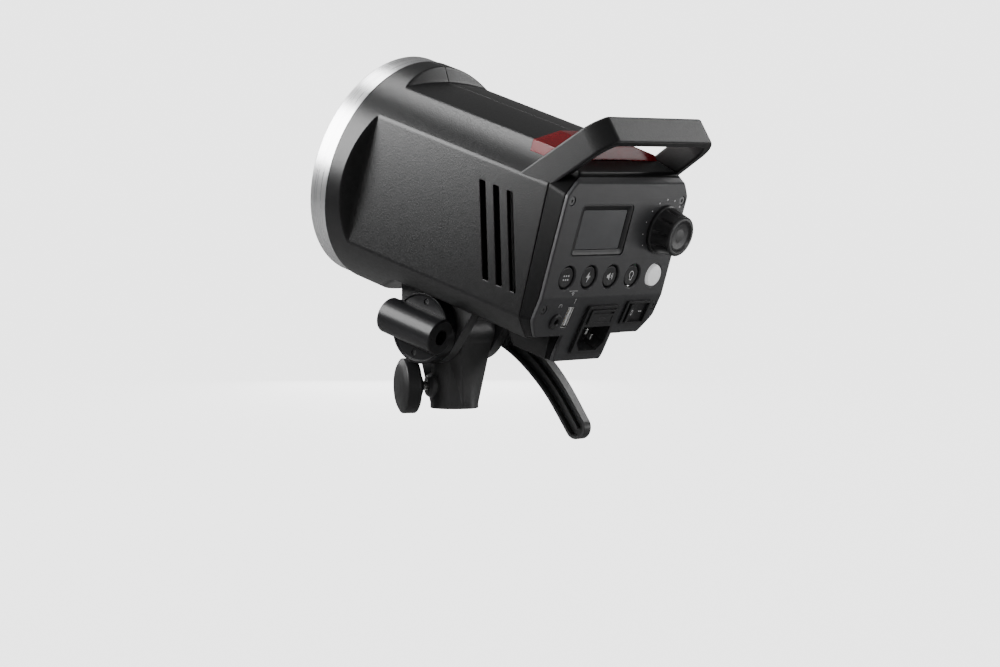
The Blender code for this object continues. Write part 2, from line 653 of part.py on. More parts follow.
def build_ports(m, lamp):
    jack = turned("sync_jack", [(0.0019, -0.0016), (0.0040, -0.0016), (0.0049, -0.0008),
                                (0.0049, -GAP), (0.0034, -GAP), (0.0034, 0.0080),
                                (0.0019, 0.0080)][::-1], (0, 1, 0),
                  (JACK_X, PANEL_Y, JACK_Z), 20)
    slanted(jack)
    keep(jack, m["dark"], lamp)
    usb = box("usb_port", (USB_X - 0.0027, PANEL_Y + 0.0002, USB_Z - 0.0070),
              (USB_X + 0.0027, PANEL_Y + 0.0100, USB_Z + 0.0070))
    cut(usb, box("usb_mouth", (USB_X - 0.0022, PANEL_Y - 0.002, USB_Z - 0.0065),
                 (USB_X + 0.0003, PANEL_Y + 0.0090, USB_Z + 0.0065)),
        box("usb_back", (USB_X + 0.0015, PANEL_Y - 0.002, USB_Z - 0.0065),
            (USB_X + 0.0022, PANEL_Y + 0.0090, USB_Z + 0.0065)))
    for tool in usb.modifiers:
        slanted(tool.object)
    slanted(usb)
    keep(usb, m["metal"], lamp)


def build_inlet(m, lamp):
    """Mains inlet with three blades, and a fuse drawer in its upper part."""
    body = box("inlet_body", (INLET_X - INLET_W / 2, PANEL_Y - 0.0020, INLET_Z - INLET_H / 2),
               (INLET_X + INLET_W / 2, PANEL_Y - GAP, INLET_Z + INLET_H / 2))
    rear_box = box("inlet_rear", (INLET_X - INLET_W / 2 + 0.0016, PANEL_Y - 0.001,
                                  INLET_Z - INLET_H / 2 + 0.0016),
                   (INLET_X + INLET_W / 2 - 0.0016, PANEL_Y + 0.0105,
                    INLET_Z + INLET_H / 2 - 0.0016))
    join(body, rear_box)
    mouth = prism("inlet_mouth", [inlet_outline(0.0268, 0.0160, 0.0050)], "XZ",
                  PANEL_Y - 0.01, PANEL_Y + 0.0090)
    bay = box("drawer_bay", (INLET_X - 0.0125, PANEL_Y - 0.01, INLET_Z + 0.0040),
              (INLET_X + 0.0125, PANEL_Y + 0.0090, INLET_Z + 0.0142))
    pins = []
    slots = []
    for name, x, z in (("earth", 0.0, 0.0000), ("line", -0.0070, -0.0040),
                       ("neutral", 0.0070, -0.0040)):
        cx, cz = INLET_X + x, INLET_Z - 0.0040 + z
        low = Vector((cx - 0.0010, PANEL_Y + 0.0030, cz - 0.0020))
        high = Vector((cx + 0.0010, PANEL_Y + 0.0115, cz + 0.0020))
        grow = Vector((GAP / 2, 0.0, GAP / 2))
        pins.append(box("inlet_pin_" + name, low, high, 0.0003))
        slots.append(box("pin_slot_" + name, low - grow, high + grow))
    cut(body, mouth, bay, *slots)
    for tool in body.modifiers:
        slanted(tool.object)
    slanted(body)
    keep(body, m["black"], lamp)
    for pin in pins:
        slanted(pin)
        keep(pin, m["metal"], lamp)
    drawer = box("fuse_drawer", (INLET_X - 0.0122, PANEL_Y - 0.0030, INLET_Z + 0.0043),
                 (INLET_X + 0.0122, PANEL_Y + 0.0085, INLET_Z + 0.0139), 0.0005)
    cut(drawer, box("fuse_bay", (INLET_X - 0.0100, PANEL_Y + 0.0005, INLET_Z + 0.0060),
                    (INLET_X + 0.0100, PANEL_Y + 0.0070, INLET_Z + 0.0170)),
        box("drawer_grip", (INLET_X - 0.0100, PANEL_Y - 0.0050, INLET_Z + 0.0112),
            (INLET_X + 0.0100, PANEL_Y - 0.0018, INLET_Z + 0.0128)))
    for tool in drawer.modifiers:
        if tool.type == "BOOLEAN":
            slanted(tool.object)
    slanted(drawer)
    keep(drawer, m["dark"], lamp)


def build_rocker(m, lamp):
    frame = box("rocker_frame", (ROCKER_X - ROCKER_W / 2, PANEL_Y - 0.0014, ROCKER_Z - ROCKER_H / 2),
                (ROCKER_X + ROCKER_W / 2, PANEL_Y - GAP, ROCKER_Z + ROCKER_H / 2))
    rear_box = box("rocker_rear", (ROCKER_X - ROCKER_W / 2 + 0.0016, PANEL_Y - 0.001,
                                   ROCKER_Z - ROCKER_H / 2 + 0.0016),
                   (ROCKER_X + ROCKER_W / 2 - 0.0016, PANEL_Y + 0.0105,
                    ROCKER_Z + ROCKER_H / 2 - 0.0016))
    join(frame, rear_box)
    cut(frame, box("rocker_well", (ROCKER_X - 0.0098, PANEL_Y - 0.01, ROCKER_Z - 0.0055),
                   (ROCKER_X + 0.0098, PANEL_Y + 0.0090, ROCKER_Z + 0.0055)))
    for tool in frame.modifiers:
        slanted(tool.object)
    slanted(frame)
    keep(frame, m["black"], lamp)
    hinge = Vector((ROCKER_X, PANEL_Y + 0.0030, ROCKER_Z))
    outline = [(-0.0088, -0.0040), (0.0, -0.0026), (0.0088, -0.0040), (0.0086, -0.0004),
               (0.0030, 0.0040), (-0.0030, 0.0040), (-0.0086, -0.0004)]
    rocker = prism("rocker", [outline[::-1]], "XY", -0.0052, 0.0052)
    empty = axis_empty("rocker_axis", lamp, slanted_point(hinge))
    empty.rotation_euler = (PANEL_SLANT, 0.0, 0.0)
    rocker.data.transform(Matrix.Rotation(math.radians(8.0), 4, "Z"))
    keep(rocker, m["dark"], empty)


def slanted_point(point):
    """A point drawn on the panel's upper plane, moved to its slanted lower part."""
    hinge = Vector((0.0, PANEL_Y, PANEL_BREAK_Z))
    return Matrix.Rotation(PANEL_SLANT, 3, "X") @ (point - hinge) + hinge


# ---- handle ---------------------------------------------------------------
def build_handle(m, lamp):
    """Flat U-shaped strap that leans back over the panel."""
    lean = Vector((0.0, -0.663, 0.749)).normalized()
    across = Vector((0.0, lean.z, -lean.y))
    base = Vector((0.0, -0.1535, 0.0400))
    thick, reach, foot = 0.0050, 0.0550, -0.0110

    def side(inset):
        top = reach - inset
        points = [(0.0590 - inset, foot), (0.0542 - inset, top - 0.0095)]
        points += arc((0.0460 - inset * 0.6, top - 0.0085), 0.0085 - inset * 0.4, 10, 90, 5)
        return points
    right = side(0.0) + [(-u, v) for u, v in reversed(side(0.0))]
    left = side(thick) + [(-u, v) for u, v in reversed(side(thick))]
    strap = prism("carry_handle", [right + left[::-1]], "XY", -0.0090, 0.0090)
    for vertex in strap.data.vertices:
        u, v, w = vertex.co
        w *= 1.0 - 0.03 * max(0.0, v) / reach
        vertex.co = base + Vector((u, 0.0, 0.0)) + lean * v + across * w
    soften(strap, 0.0007, 1)
    cut(strap, housing_form("handle_seat", -GAP, 0.0),
        rear_seat("handle_rear_seat"))
    keep(strap, m["black"], lamp)


def rear_seat(name):
    """The rear cover's shape, a little larger, to trim what sits against it."""
    obj = rear_form(name, 0.0)
    obj.data.transform(Matrix.Diagonal((1.006, 1.0, 1.006, 1.0)))
    return obj


# ---- bracket --------------------------------------------------------------
def ear_outline():
    """Side outline of the head bracket, from the tilt axis, flaring up to the belly."""
    flare = math.degrees(EAR_FLARE)
    bottom = arc((0.0, 0.0), EAR_R, 180 + flare, 360 - flare, 16)
    top = RING_FROM_PIVOT.z + BELLY_Z + 0.012
    right = bottom[-1]
    reach = (top - right[1]) * math.tan(EAR_FLARE)
    return bottom + [(right[0] + reach, top), (-right[0] - reach, top)]


def build_head_bracket(m, pivot):
    bracket = prism("head_bracket", [ear_outline()], "YZ", -EAR_OUT_X, EAR_OUT_X)
    slot = arc((0.0, 0.0), BARREL_R + 0.0008, BRIDGE_START, 180 - BRIDGE_START, 12)
    rise = 0.05 * math.tan(math.radians(BRIDGE_START))
    slot = [(0.05, -0.05), (0.05, rise)] + slot + [(-0.05, rise), (-0.05, -0.05)]
    cut(bracket, prism("bracket_slot", [slot], "YZ", -EAR_IN_X, EAR_IN_X),
        rod("ear_bore", (0, 0, 0), (1, 0, 0), BOLT_HOLE_R, -0.05, 0.05, segments=SMALL))
    form = housing_form("bracket_seat", -GAP, -0.010)
    form.data.transform(Matrix.Translation(RING_FROM_PIVOT))
    cut(bracket, form)
    keep(bracket, m["cast"], pivot)


def build_umbrella_holder(m, pivot):
    """Cap disc on the left ear with a tube through it, parallel to the light."""
    inner = -EAR_OUT_X - GAP
    cap = rod("umbrella_holder", (0, 0, 0), (1, 0, 0), EAR_R, -CAP_X, inner, segments=40)
    join(cap, rod("umbrella_tube", (TUBE_X, 0, TUBE_DROP), (0, 1, 0), TUBE_R, -TUBE_LENGTH / 2,
                  TUBE_LENGTH / 2, segments=MIDDLE))
    cut(cap, rod("umbrella_bore", (TUBE_X, 0, TUBE_DROP), (0, 1, 0), TUBE_BORE_R, -0.05, 0.05,
                 segments=20),
        box("cap_trim", (inner, -0.05, -0.05), (0.0, 0.05, 0.05)),
        rod("bolt_head_pocket", (0, 0, 0), (1, 0, 0), 0.0074, -0.0285, 0.0, segments=6))
    for index, (name, z) in enumerate((("cap_screw_upper", 0.0166), ("cap_screw_lower", -0.0158))):
        cut(cap, rod(name + "_hole", (0, 0, z), (1, 0, 0), 0.0019, -0.04, -0.0310,
                     segments=SMALL))
        screw = rod(name, (0, 0, z), (1, 0, 0), 0.0016, -0.0330, -0.0313, segments=SMALL)
        cut(screw, rod(name + "_drive", (0, 0, z), (1, 0, 0), 0.0008, -0.0340, -0.0320,
                       segments=6))
        keep(screw, m["screw"], pivot)
    keep(cap, m["gloss"], pivot)


def build_bolt(m, pivot):
    bolt = rod("tilt_bolt", (0, 0, 0), (1, 0, 0), BOLT_R, -0.0250, 0.0355, segments=SMALL)
    join(bolt, rod("bolt_head", (0, 0, 0), (1, 0, 0), 0.0070, -0.0282, -0.0246, segments=6))
    keep(bolt, m["metal"], pivot)
    for side, name in ((-1, "friction_washer_left"), (1, "friction_washer_right")):
        low, high = sorted((side * (BARREL_X + GAP), side * (EAR_IN_X - GAP)))
        washer = rod(name, (0, 0, 0), (1, 0, 0), 0.0185, low, high, segments=MIDDLE)
        cut(washer, rod(name + "_bore", (0, 0, 0), (1, 0, 0), BOLT_HOLE_R, -0.03, 0.03,
                        segments=SMALL))
        keep(washer, m["dark"], pivot)


def lever_centreline():
    """Centre points of the lever in its plane, from the hub to the tip."""
    return ((0.0, 0.0), (-0.0185, -0.0056), (-0.0370, -0.0175), (-0.0563, -0.0363),
            (-0.0735, -0.0600))


def smooth_route(points, steps):
    """Points along a Catmull-Rom curve through the given points."""
    padded = [points[0]] + list(points) + [points[-1]]
    route = []
    for index in range(1, len(padded) - 2):
        before, first, second, after = (Vector(p) for p in padded[index - 1:index + 3])
        for step in range(steps):
            t = step / steps
            route.append(0.5 * (2 * first + (second - before) * t
                                + (2 * before - 5 * first + 4 * second - after) * t * t
                                + (3 * first - before - 3 * second + after) * t ** 3))
    route.append(Vector(points[-1]))
    return route


def lever_outline(half_width):
    """Closed outline around the lever's centre line, with a round tip."""
    route = smooth_route(lever_centreline(), 4)[3:]
    left, right = [], []
    for index, point in enumerate(route):
        ahead = route[min(index + 1, len(route) - 1)]
        behind = route[max(index - 1, 0)]
        direction = (ahead - behind).normalized()
        normal = Vector((-direction.y, direction.x))
        left.append(tuple(point + normal * half_width))
        right.append(tuple(point - normal * half_width))
    start = math.degrees(math.atan2(normal.y, normal.x))
    tip = arc(tuple(route[-1]), half_width, start, start - 180, 8)
    return left[:-1] + tip + right[-2::-1]


def build_lever(m, root):
    """Tilt lock: a long curved lever with a hollowed inner face and a rib along it."""
    pivot = axis_empty("lever_axis", root, (0.0, 0.0, PIVOT_Z))
    lever = prism("tilt_lever", [lever_outline(LEVER_HALF_W)], "YZ", LEVER_X, LEVER_X + LEVER_T)
    for vertex in lever.data.vertices:
        if vertex.co.x > LEVER_X + 0.005:
            vertex.co.x -= 0.0035 * min(1.0, -vertex.co.y / 0.080)
    join(lever, rod("lever_hub", (0, 0, 0), (1, 0, 0), LEVER_HUB_R, LEVER_X,
                    LEVER_X + LEVER_T + 0.0015, segments=MIDDLE))
    cut(lever, prism("lever_channel", [lever_outline(LEVER_HALF_W - 0.0018)[1:-1]], "YZ",
                     LEVER_X - 0.01, LEVER_X + 0.0042))
    join(lever, prism("lever_rib", [lever_outline(0.0009)[2:-2]], "YZ", LEVER_X + 0.0010,
                      LEVER_X + 0.0050),
         rod("lever_hub_face", (0, 0, 0), (1, 0, 0), LEVER_HUB_R - 0.0005, LEVER_X,
             LEVER_X + 0.005, segments=MIDDLE))
    cut(lever, rod("lever_bore", (0, 0, 0), (1, 0, 0), BOLT_HOLE_R, 0.0, 0.05, segments=SMALL))
    keep(lever, m["black"], pivot)


def build_stand_casting(m, root):
    """Tilt barrel on a tapered web, with the round stand socket through its middle."""
    casting = rod("stand_casting", (0, 0, 0), (0, 0, 1), SOCKET_R, 0.0, 0.0312, segments=40)
    join(casting, rod("casting_barrel", (0, 0, PIVOT_Z), (1, 0, 0), BARREL_R, -BARREL_X, BARREL_X,
                      segments=40))
    web_x = BARREL_X - 0.0002
    front = [(-0.0076, 0.0006), (0.0076, 0.0006), (web_x, 0.0335), (web_x, 0.048),
             (-web_x, 0.048), (-web_x, 0.0335)]
    web = prism("casting_web", [front], "XZ", -0.0300, 0.0300)
    side = [(0.0125, -0.001), (0.0165, 0.0325), (0.0205, PIVOT_Z - 0.001),
            (-0.0205, PIVOT_Z - 0.001), (-0.0165, 0.0325), (-0.0125, -0.001)]
    common(web, prism("casting_side", [side], "YZ", -0.0300, 0.0300))
    join(casting, web)
    out = (math.cos(CLAMP_TURN), math.sin(CLAMP_TURN), 0.0)
    join(casting, rod("clamp_boss", (0, 0, CLAMP_Z), out, BOSS_R, 0.0100, BOSS_END, segments=24))
    cut(casting, rod("socket_bore", (0, 0, 0), (0, 0, 1), SOCKET_BORE_R, -0.01, SOCKET_BORE_DEPTH,
                     segments=MIDDLE),
        rod("clamp_hole", (0, 0, CLAMP_Z), out, 0.0033, 0.0040, 0.0300, segments=SMALL),
        rod("casting_bore", (0, 0, PIVOT_Z), (1, 0, 0), BOLT_HOLE_R, -0.03, 0.03,
            segments=SMALL))
    keep(casting, m["cast"], root)
    build_clamp(m, root, out)


def build_clamp(m, root, out):
    """Round clamp knob on its steel screw; both turn together about the screw's axis."""
    axis = axis_empty("clamp_axis", root, (0.0, 0.0, CLAMP_Z))
    knob = turned("stand_knob",
                  [(0.0, KNOB_OUT), (0.0120, KNOB_OUT - 0.0008), (0.0160, KNOB_OUT - 0.0022),
                   (KNOB_R, KNOB_OUT - 0.0040), (KNOB_R, KNOB_IN + 0.0014),
                   (KNOB_R - 0.0020, KNOB_IN), (0.0080, KNOB_IN - 0.0004),
                   (0.0060, KNOB_IN - 0.0030), (0.0, KNOB_IN - 0.0030)],
                  out, closed=False, steps=36)
    cut(knob, rod("knob_bore", (0, 0, 0), out, 0.0030 + GAP, 0.0, KNOB_IN + 0.0040,
                  segments=SMALL))
    keep(knob, m["knob"], axis)
    screw = rod("clamp_screw", (0, 0, 0), out, 0.0030, 0.0086, KNOB_IN + 0.0035, segments=SMALL)
    keep(screw, m["metal"], axis)


def axis_empty(name, parent, location):
    empty = bpy.data.objects.new(name, None)
    empty.empty_display_size = 0.01
    PARTS.objects.link(empty)
    empty.parent = parent
    empty.location = location
    return empty


def build():
    m = {
        "black": new_material("grained_black", (0.022, 0.022, 0.024), 0.45),
        "panel": new_material("panel_grey", (0.035, 0.035, 0.038), 0.42),
        "ring": new_material("satin_aluminium", (0.80, 0.80, 0.82), 0.30, 1.0),
        "cast": new_material("bracket_black", (0.020, 0.020, 0.022), 0.36),
        "gloss": new_material("gloss_black", (0.015, 0.015, 0.016), 0.18),
        "knob": new_material("knob_black", (0.018, 0.018, 0.018), 0.55),
        "dark": new_material("dark_plastic", (0.014, 0.014, 0.015), 0.38),
        "button": new_material("button_black", (0.012, 0.012, 0.013), 0.34),
        "test": new_material("test_white", (0.85, 0.85, 0.86), 0.30),
        "screen": new_material("screen_glass", (0.030, 0.032, 0.036), 0.08),
        "red": new_material("red_cover", (0.42, 0.010, 0.020), 0.16, 0.0, 0.35),
        "metal": new_material("bright_steel", (0.70, 0.70, 0.70), 0.25, 1.0),
        "screw": new_material("black_screw", (0.050, 0.050, 0.052), 0.35, 1.0),
        "pan": new_material("reflector", (0.88, 0.88, 0.88), 0.18, 1.0),
        "ceramic": new_material("ceramic", (0.80, 0.79, 0.76), 0.45),
        "glass": new_material("tube_glass", (0.92, 0.95, 0.96), 0.05, 0.0, 0.9),
        "frosted": new_material("frosted_dome", (0.93, 0.93, 0.88), 0.40, 0.0, 0.4),
        "can": new_material("capacitor_sleeve", (0.030, 0.050, 0.120), 0.35),
        "board": new_material("circuit_board", (0.020, 0.120, 0.050), 0.50),
    }
    root = axis_empty("strobe_root", None, (0.0, 0.0, 0.0))
    pivot = axis_empty("tilt_pivot", root, (0.0, 0.0, PIVOT_Z))
    pivot.rotation_euler = (TILT, 0.0, 0.0)
    lamp = axis_empty("lamp_frame", pivot, RING_FROM_PIVOT)
    build_housing(m["black"], lamp)
    build_sensor_cover(m["red"], m["dark"], lamp)
    build_front(m, lamp)
    build_inside(m, lamp)
    build_rear(m, lamp)
    build_handle(m, lamp)
    build_head_bracket(m, pivot)
    build_umbrella_holder(m, pivot)
    build_bolt(m, pivot)
    build_lever(m, root)
    build_stand_casting(m, root)
    settle_tools()


def settle_tools():
    """Give each cutter the parent of the piece it shapes, so both stay in one frame."""
    for piece in PARTS.objects:
        if piece.type != "MESH":
            continue
        waiting = [piece]
        while waiting:
            for modifier in waiting.pop().modifiers:
                if modifier.type == "BOOLEAN":
                    modifier.object.parent = piece.parent
                    waiting.append(modifier.object)


clear_scene()
PARTS = new_collection("monolight_strobe")
CUTTERS = new_collection("cutters")
build()
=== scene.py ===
"""Looks of the monolight strobe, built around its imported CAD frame. Metres, +Z up."""
import json
import math

import bmesh
import bpy
import numpy as np
from mathutils import Matrix, Vector

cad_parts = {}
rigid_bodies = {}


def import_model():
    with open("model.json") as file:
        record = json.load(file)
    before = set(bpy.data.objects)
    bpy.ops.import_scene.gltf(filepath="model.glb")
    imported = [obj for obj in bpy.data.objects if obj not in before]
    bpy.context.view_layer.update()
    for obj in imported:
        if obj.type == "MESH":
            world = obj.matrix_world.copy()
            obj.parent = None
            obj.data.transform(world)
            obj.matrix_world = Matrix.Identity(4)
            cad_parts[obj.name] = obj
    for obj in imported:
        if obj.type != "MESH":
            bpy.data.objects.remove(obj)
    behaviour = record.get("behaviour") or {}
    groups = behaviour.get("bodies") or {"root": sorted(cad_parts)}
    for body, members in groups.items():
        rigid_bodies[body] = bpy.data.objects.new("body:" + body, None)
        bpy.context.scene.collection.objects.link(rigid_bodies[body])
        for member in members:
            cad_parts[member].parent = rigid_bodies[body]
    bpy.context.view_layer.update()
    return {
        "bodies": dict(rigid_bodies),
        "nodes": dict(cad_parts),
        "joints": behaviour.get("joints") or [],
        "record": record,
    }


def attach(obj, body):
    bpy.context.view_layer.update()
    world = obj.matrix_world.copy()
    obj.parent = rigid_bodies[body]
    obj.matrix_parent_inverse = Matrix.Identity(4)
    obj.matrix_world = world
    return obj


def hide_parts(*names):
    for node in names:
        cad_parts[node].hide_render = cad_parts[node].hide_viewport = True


# ---- driving dimensions ----------------------------------------------------
TILT = math.radians(17.84)            # nose-up angle of the lamp at rest
PIVOT = Vector((0.0, 0.0, 0.050))     # tilt axis
RING_FROM_PIVOT = Vector((0.0, 0.0795, 0.0778))
TILTED = Matrix.Translation(PIVOT) @ Matrix.Rotation(TILT, 4, "X")
LAMP = TILTED @ Matrix.Translation(RING_FROM_PIVOT)   # origin: ring face, +Y the light
STAND = Matrix.Identity(4)
GAP = 0.0003

BODY_R, RING_R, RING_DEPTH = 0.0703, 0.0700, 0.0126
SIDE_X, SIDE_FRONT_Y, SIDE_RAMP = 0.0580, -0.0295, 2.27
TOP_MID_Z, TOP_EDGE_Z, TOP_EDGE_X = 0.0620, 0.0580, 0.0397
TOP_FRONT_Y, TOP_RAMP = -0.0303, 1.40
BELLY_Z, BELLY_FRONT_Y, BELLY_RAMP = 0.0530, -0.0626, 0.556
KEEL_X, KEEL_Z, KEEL_FRONT_Y, KEEL_RAMP = 0.0240, 0.0666, -0.1305, 1.088
SEAM_Y, SEAM_LEAN = -0.1651, 0.041
EDGE_BLEND = 0.0008

PANEL_Y, PANEL_T, PANEL_BREAK_Z = -0.18065, 0.0025, -0.0243
PANEL_SLANT = math.radians(10.0)
COVER_FRONT_Y, COVER_REAR_Y, COVER_X, COVER_LOW_Z, COVER_TOP_Z = (
    -0.1318, -0.1625, 0.0477, 0.0517, 0.0644)
BUTTON_X = (-0.0406, -0.0192, 0.0022, 0.0236, 0.0450)
BUTTON_Z, BUTTON_R = -0.0117, 0.0067
BUTTON_NAMES = ("group", "slave", "beep", "lamp", "test")
DIAL_X, DIAL_Z, DIAL_R, DIAL_NOSE_R, DIAL_LENGTH = 0.0415, 0.0172, 0.0150, 0.0122, 0.0146
SCREEN_X, SCREEN_Z, SCREEN_W, SCREEN_H, SCREEN_DEPTH = -0.0180, 0.0172, 0.0430, 0.0244, 0.0012
SCREEN_OUTER = (0.0512, 0.0312)
INLET_X, INLET_Z, INLET_W, INLET_H = 0.0033, -0.0455, 0.0304, 0.0320
ROCKER_X, ROCKER_Z, ROCKER_W, ROCKER_H = 0.0383, -0.0353, 0.0245, 0.0156
JACK_X, JACK_Z = -0.0380, -0.0394
USB_X, USB_Z = -0.0270, -0.0373
PANEL_SCREWS = ((-0.0546, 0.0350), (0.0546, 0.0350), (-0.0535, -0.0315), (0.0555, -0.0315))
SCREW_R = 0.0026
ICON_GROWTH = 1.32

EAR_R, EAR_IN_X, EAR_OUT_X, EAR_FLARE = 0.0217, 0.0155, 0.0240, 17.8
CAP_X, TUBE_R, TUBE_BORE_R, TUBE_LENGTH = 0.0335, 0.0110, 0.00475, 0.0430
TUBE_X, TUBE_RISE = -0.0385, 0.0013
BARREL_R, BARREL_X = 0.0210, 0.0142
SOCKET_R, SOCKET_BORE_R, SOCKET_BORE_DEPTH = 0.0147, 0.00815, 0.030
CLAMP_Z, CLAMP_TURN = 0.0140, math.radians(144.0)
KNOB_R, KNOB_IN, KNOB_OUT = 0.0168, 0.0238, 0.0365
BOLT_R, BOLT_HOLE_R = 0.0040, 0.0043
THROUGH = 0.01                        # how far a cutting tool goes past the panel
FRAME_WALL = 0.0016                   # from a panel part's rim to its rear body
LEVER_X, LEVER_T, LEVER_HUB_R, LEVER_HALF_W = 0.0246, 0.0100, 0.0160, 0.0073

ROOM_SEEN, ROOM_LIGHT = 3.2, 0.17
FLOOR_Z, FLOOR_REACH, FLOOR_GLOW, FLOOR_LIT = -0.060, 30.0, 3.17, 0.26
LAMPS = (                              # name, place, width, height, power in watts
    ("key", (-0.31, 0.21, 0.32), 0.26, 0.32, 3.5),
    ("top", (0.02, 0.30, 1.25), 0.36, 0.36, 4.5),
    ("rear", (0.5, -1.7, 0.9), 0.4, 0.4, 3.0),
    ("bounce", (0.40, -0.46, -0.02), 0.34, 0.14, 0.50),
    ("right", (1.0, -0.40, 0.70), 0.4, 0.4, 2.4),
    ("right_low", (1.0, 0.85, 0.02), 0.3, 0.1, 5.0),
    ("behind", (-0.05, -1.6, 0.12), 0.5, 0.25, 2.2),
    ("front", (0.25, 1.3, 0.60), 0.4, 0.3, 4.0),
)


# ---- camera, lights, floor ---------------------------------------------------
def linked(name, data):
    """A new object with this data, put in the scene."""
    obj = bpy.data.objects.new(name, data)
    bpy.context.scene.collection.objects.link(obj)
    return obj


def aimed(name, data, place, aim):
    """An object at place whose -Z axis points at aim."""
    obj = linked(name, data)
    obj.location = place
    obj.rotation_mode = "QUATERNION"
    obj.rotation_quaternion = (Vector(aim) - Vector(place)).to_track_quat("-Z", "Y")
    return obj


def set_camera():
    """Behind and to the left of the lamp, almost level with it."""
    data = bpy.data.cameras.new("camera")
    data.sensor_width = 36.0
    data.lens = 117.3
    data.clip_start = 0.05
    data.clip_end = 60.0
    bpy.context.scene.camera = aimed("camera", data, (-1.5451, -1.2458, 0.1342),
                                     (0.0120, -0.0260, 0.0457))


def soft_light(name, place, aim, width, height, power):
    """A softbox: an area light at place, facing aim."""
    data = bpy.data.lights.new(name, "AREA")
    data.shape = "RECTANGLE"
    data.size = width
    data.size_y = height
    data.energy = power
    aimed(name, data, place, aim).visible_camera = False


def seen_and_lit(tree, seen, lit):
    """A shader that shows one value to the camera and lights the object with another."""
    path = tree.nodes.new("ShaderNodeLightPath")
    mix = tree.nodes.new("ShaderNodeMixShader")
    tree.links.new(path.outputs["Is Camera Ray"], mix.inputs[0])
    tree.links.new(lit, mix.inputs[1])
    tree.links.new(seen, mix.inputs[2])
    return mix.outputs[0]


def set_studio():
    """Pale floor in a pale room, with a few softboxes round the object."""
    world = bpy.data.worlds.new("studio")
    bpy.context.scene.world = world
    world.use_nodes = True
    tree = world.node_tree
    room = []
    for strength in (ROOM_SEEN, ROOM_LIGHT):
        node = tree.nodes.new("ShaderNodeBackground")
        node.inputs["Color"].default_value = (1.0, 1.0, 1.0, 1.0)
        node.inputs["Strength"].default_value = strength
        room.append(node.outputs[0])
    tree.links.new(seen_and_lit(tree, *room), tree.nodes["World Output"].inputs["Surface"])
    for name, place, width, height, power in LAMPS:
        soft_light(name, place, (0.0, -0.03, 0.09), width, height, power)
    floor = mesh_piece("studio_floor", [(-FLOOR_REACH, -FLOOR_REACH, FLOOR_Z),
                                        (FLOOR_REACH, -FLOOR_REACH, FLOOR_Z),
                                        (FLOOR_REACH, FLOOR_REACH, FLOOR_Z),
                                        (-FLOOR_REACH, FLOOR_REACH, FLOOR_Z)], [(0, 1, 2, 3)])
    material = bpy.data.materials.new("studio_floor")
    material.use_nodes = True
    tree = material.node_tree
    shader = tree.nodes["Principled BSDF"]
    shader.inputs["Base Color"].default_value = (0.04, 0.04, 0.04, 1.0)
    shader.inputs["Roughness"].default_value = 0.9
    shader.inputs["Specular IOR Level"].default_value = 0.1
    glow = tree.nodes.new("ShaderNodeEmission")
    glow.inputs["Strength"].default_value = FLOOR_GLOW
    bright = tree.nodes.new("ShaderNodeAddShader")
    tree.links.new(shader.outputs[0], bright.inputs[0])
    tree.links.new(glow.outputs[0], bright.inputs[1])
    matt = tree.nodes.new("ShaderNodeBsdfDiffuse")
    matt.inputs["Color"].default_value = (FLOOR_LIT, FLOOR_LIT, FLOOR_LIT, 1.0)
    tree.links.new(seen_and_lit(tree, bright.outputs[0], matt.outputs[0]),
                   tree.nodes["Material Output"].inputs["Surface"])
    floor.data.materials.append(material)


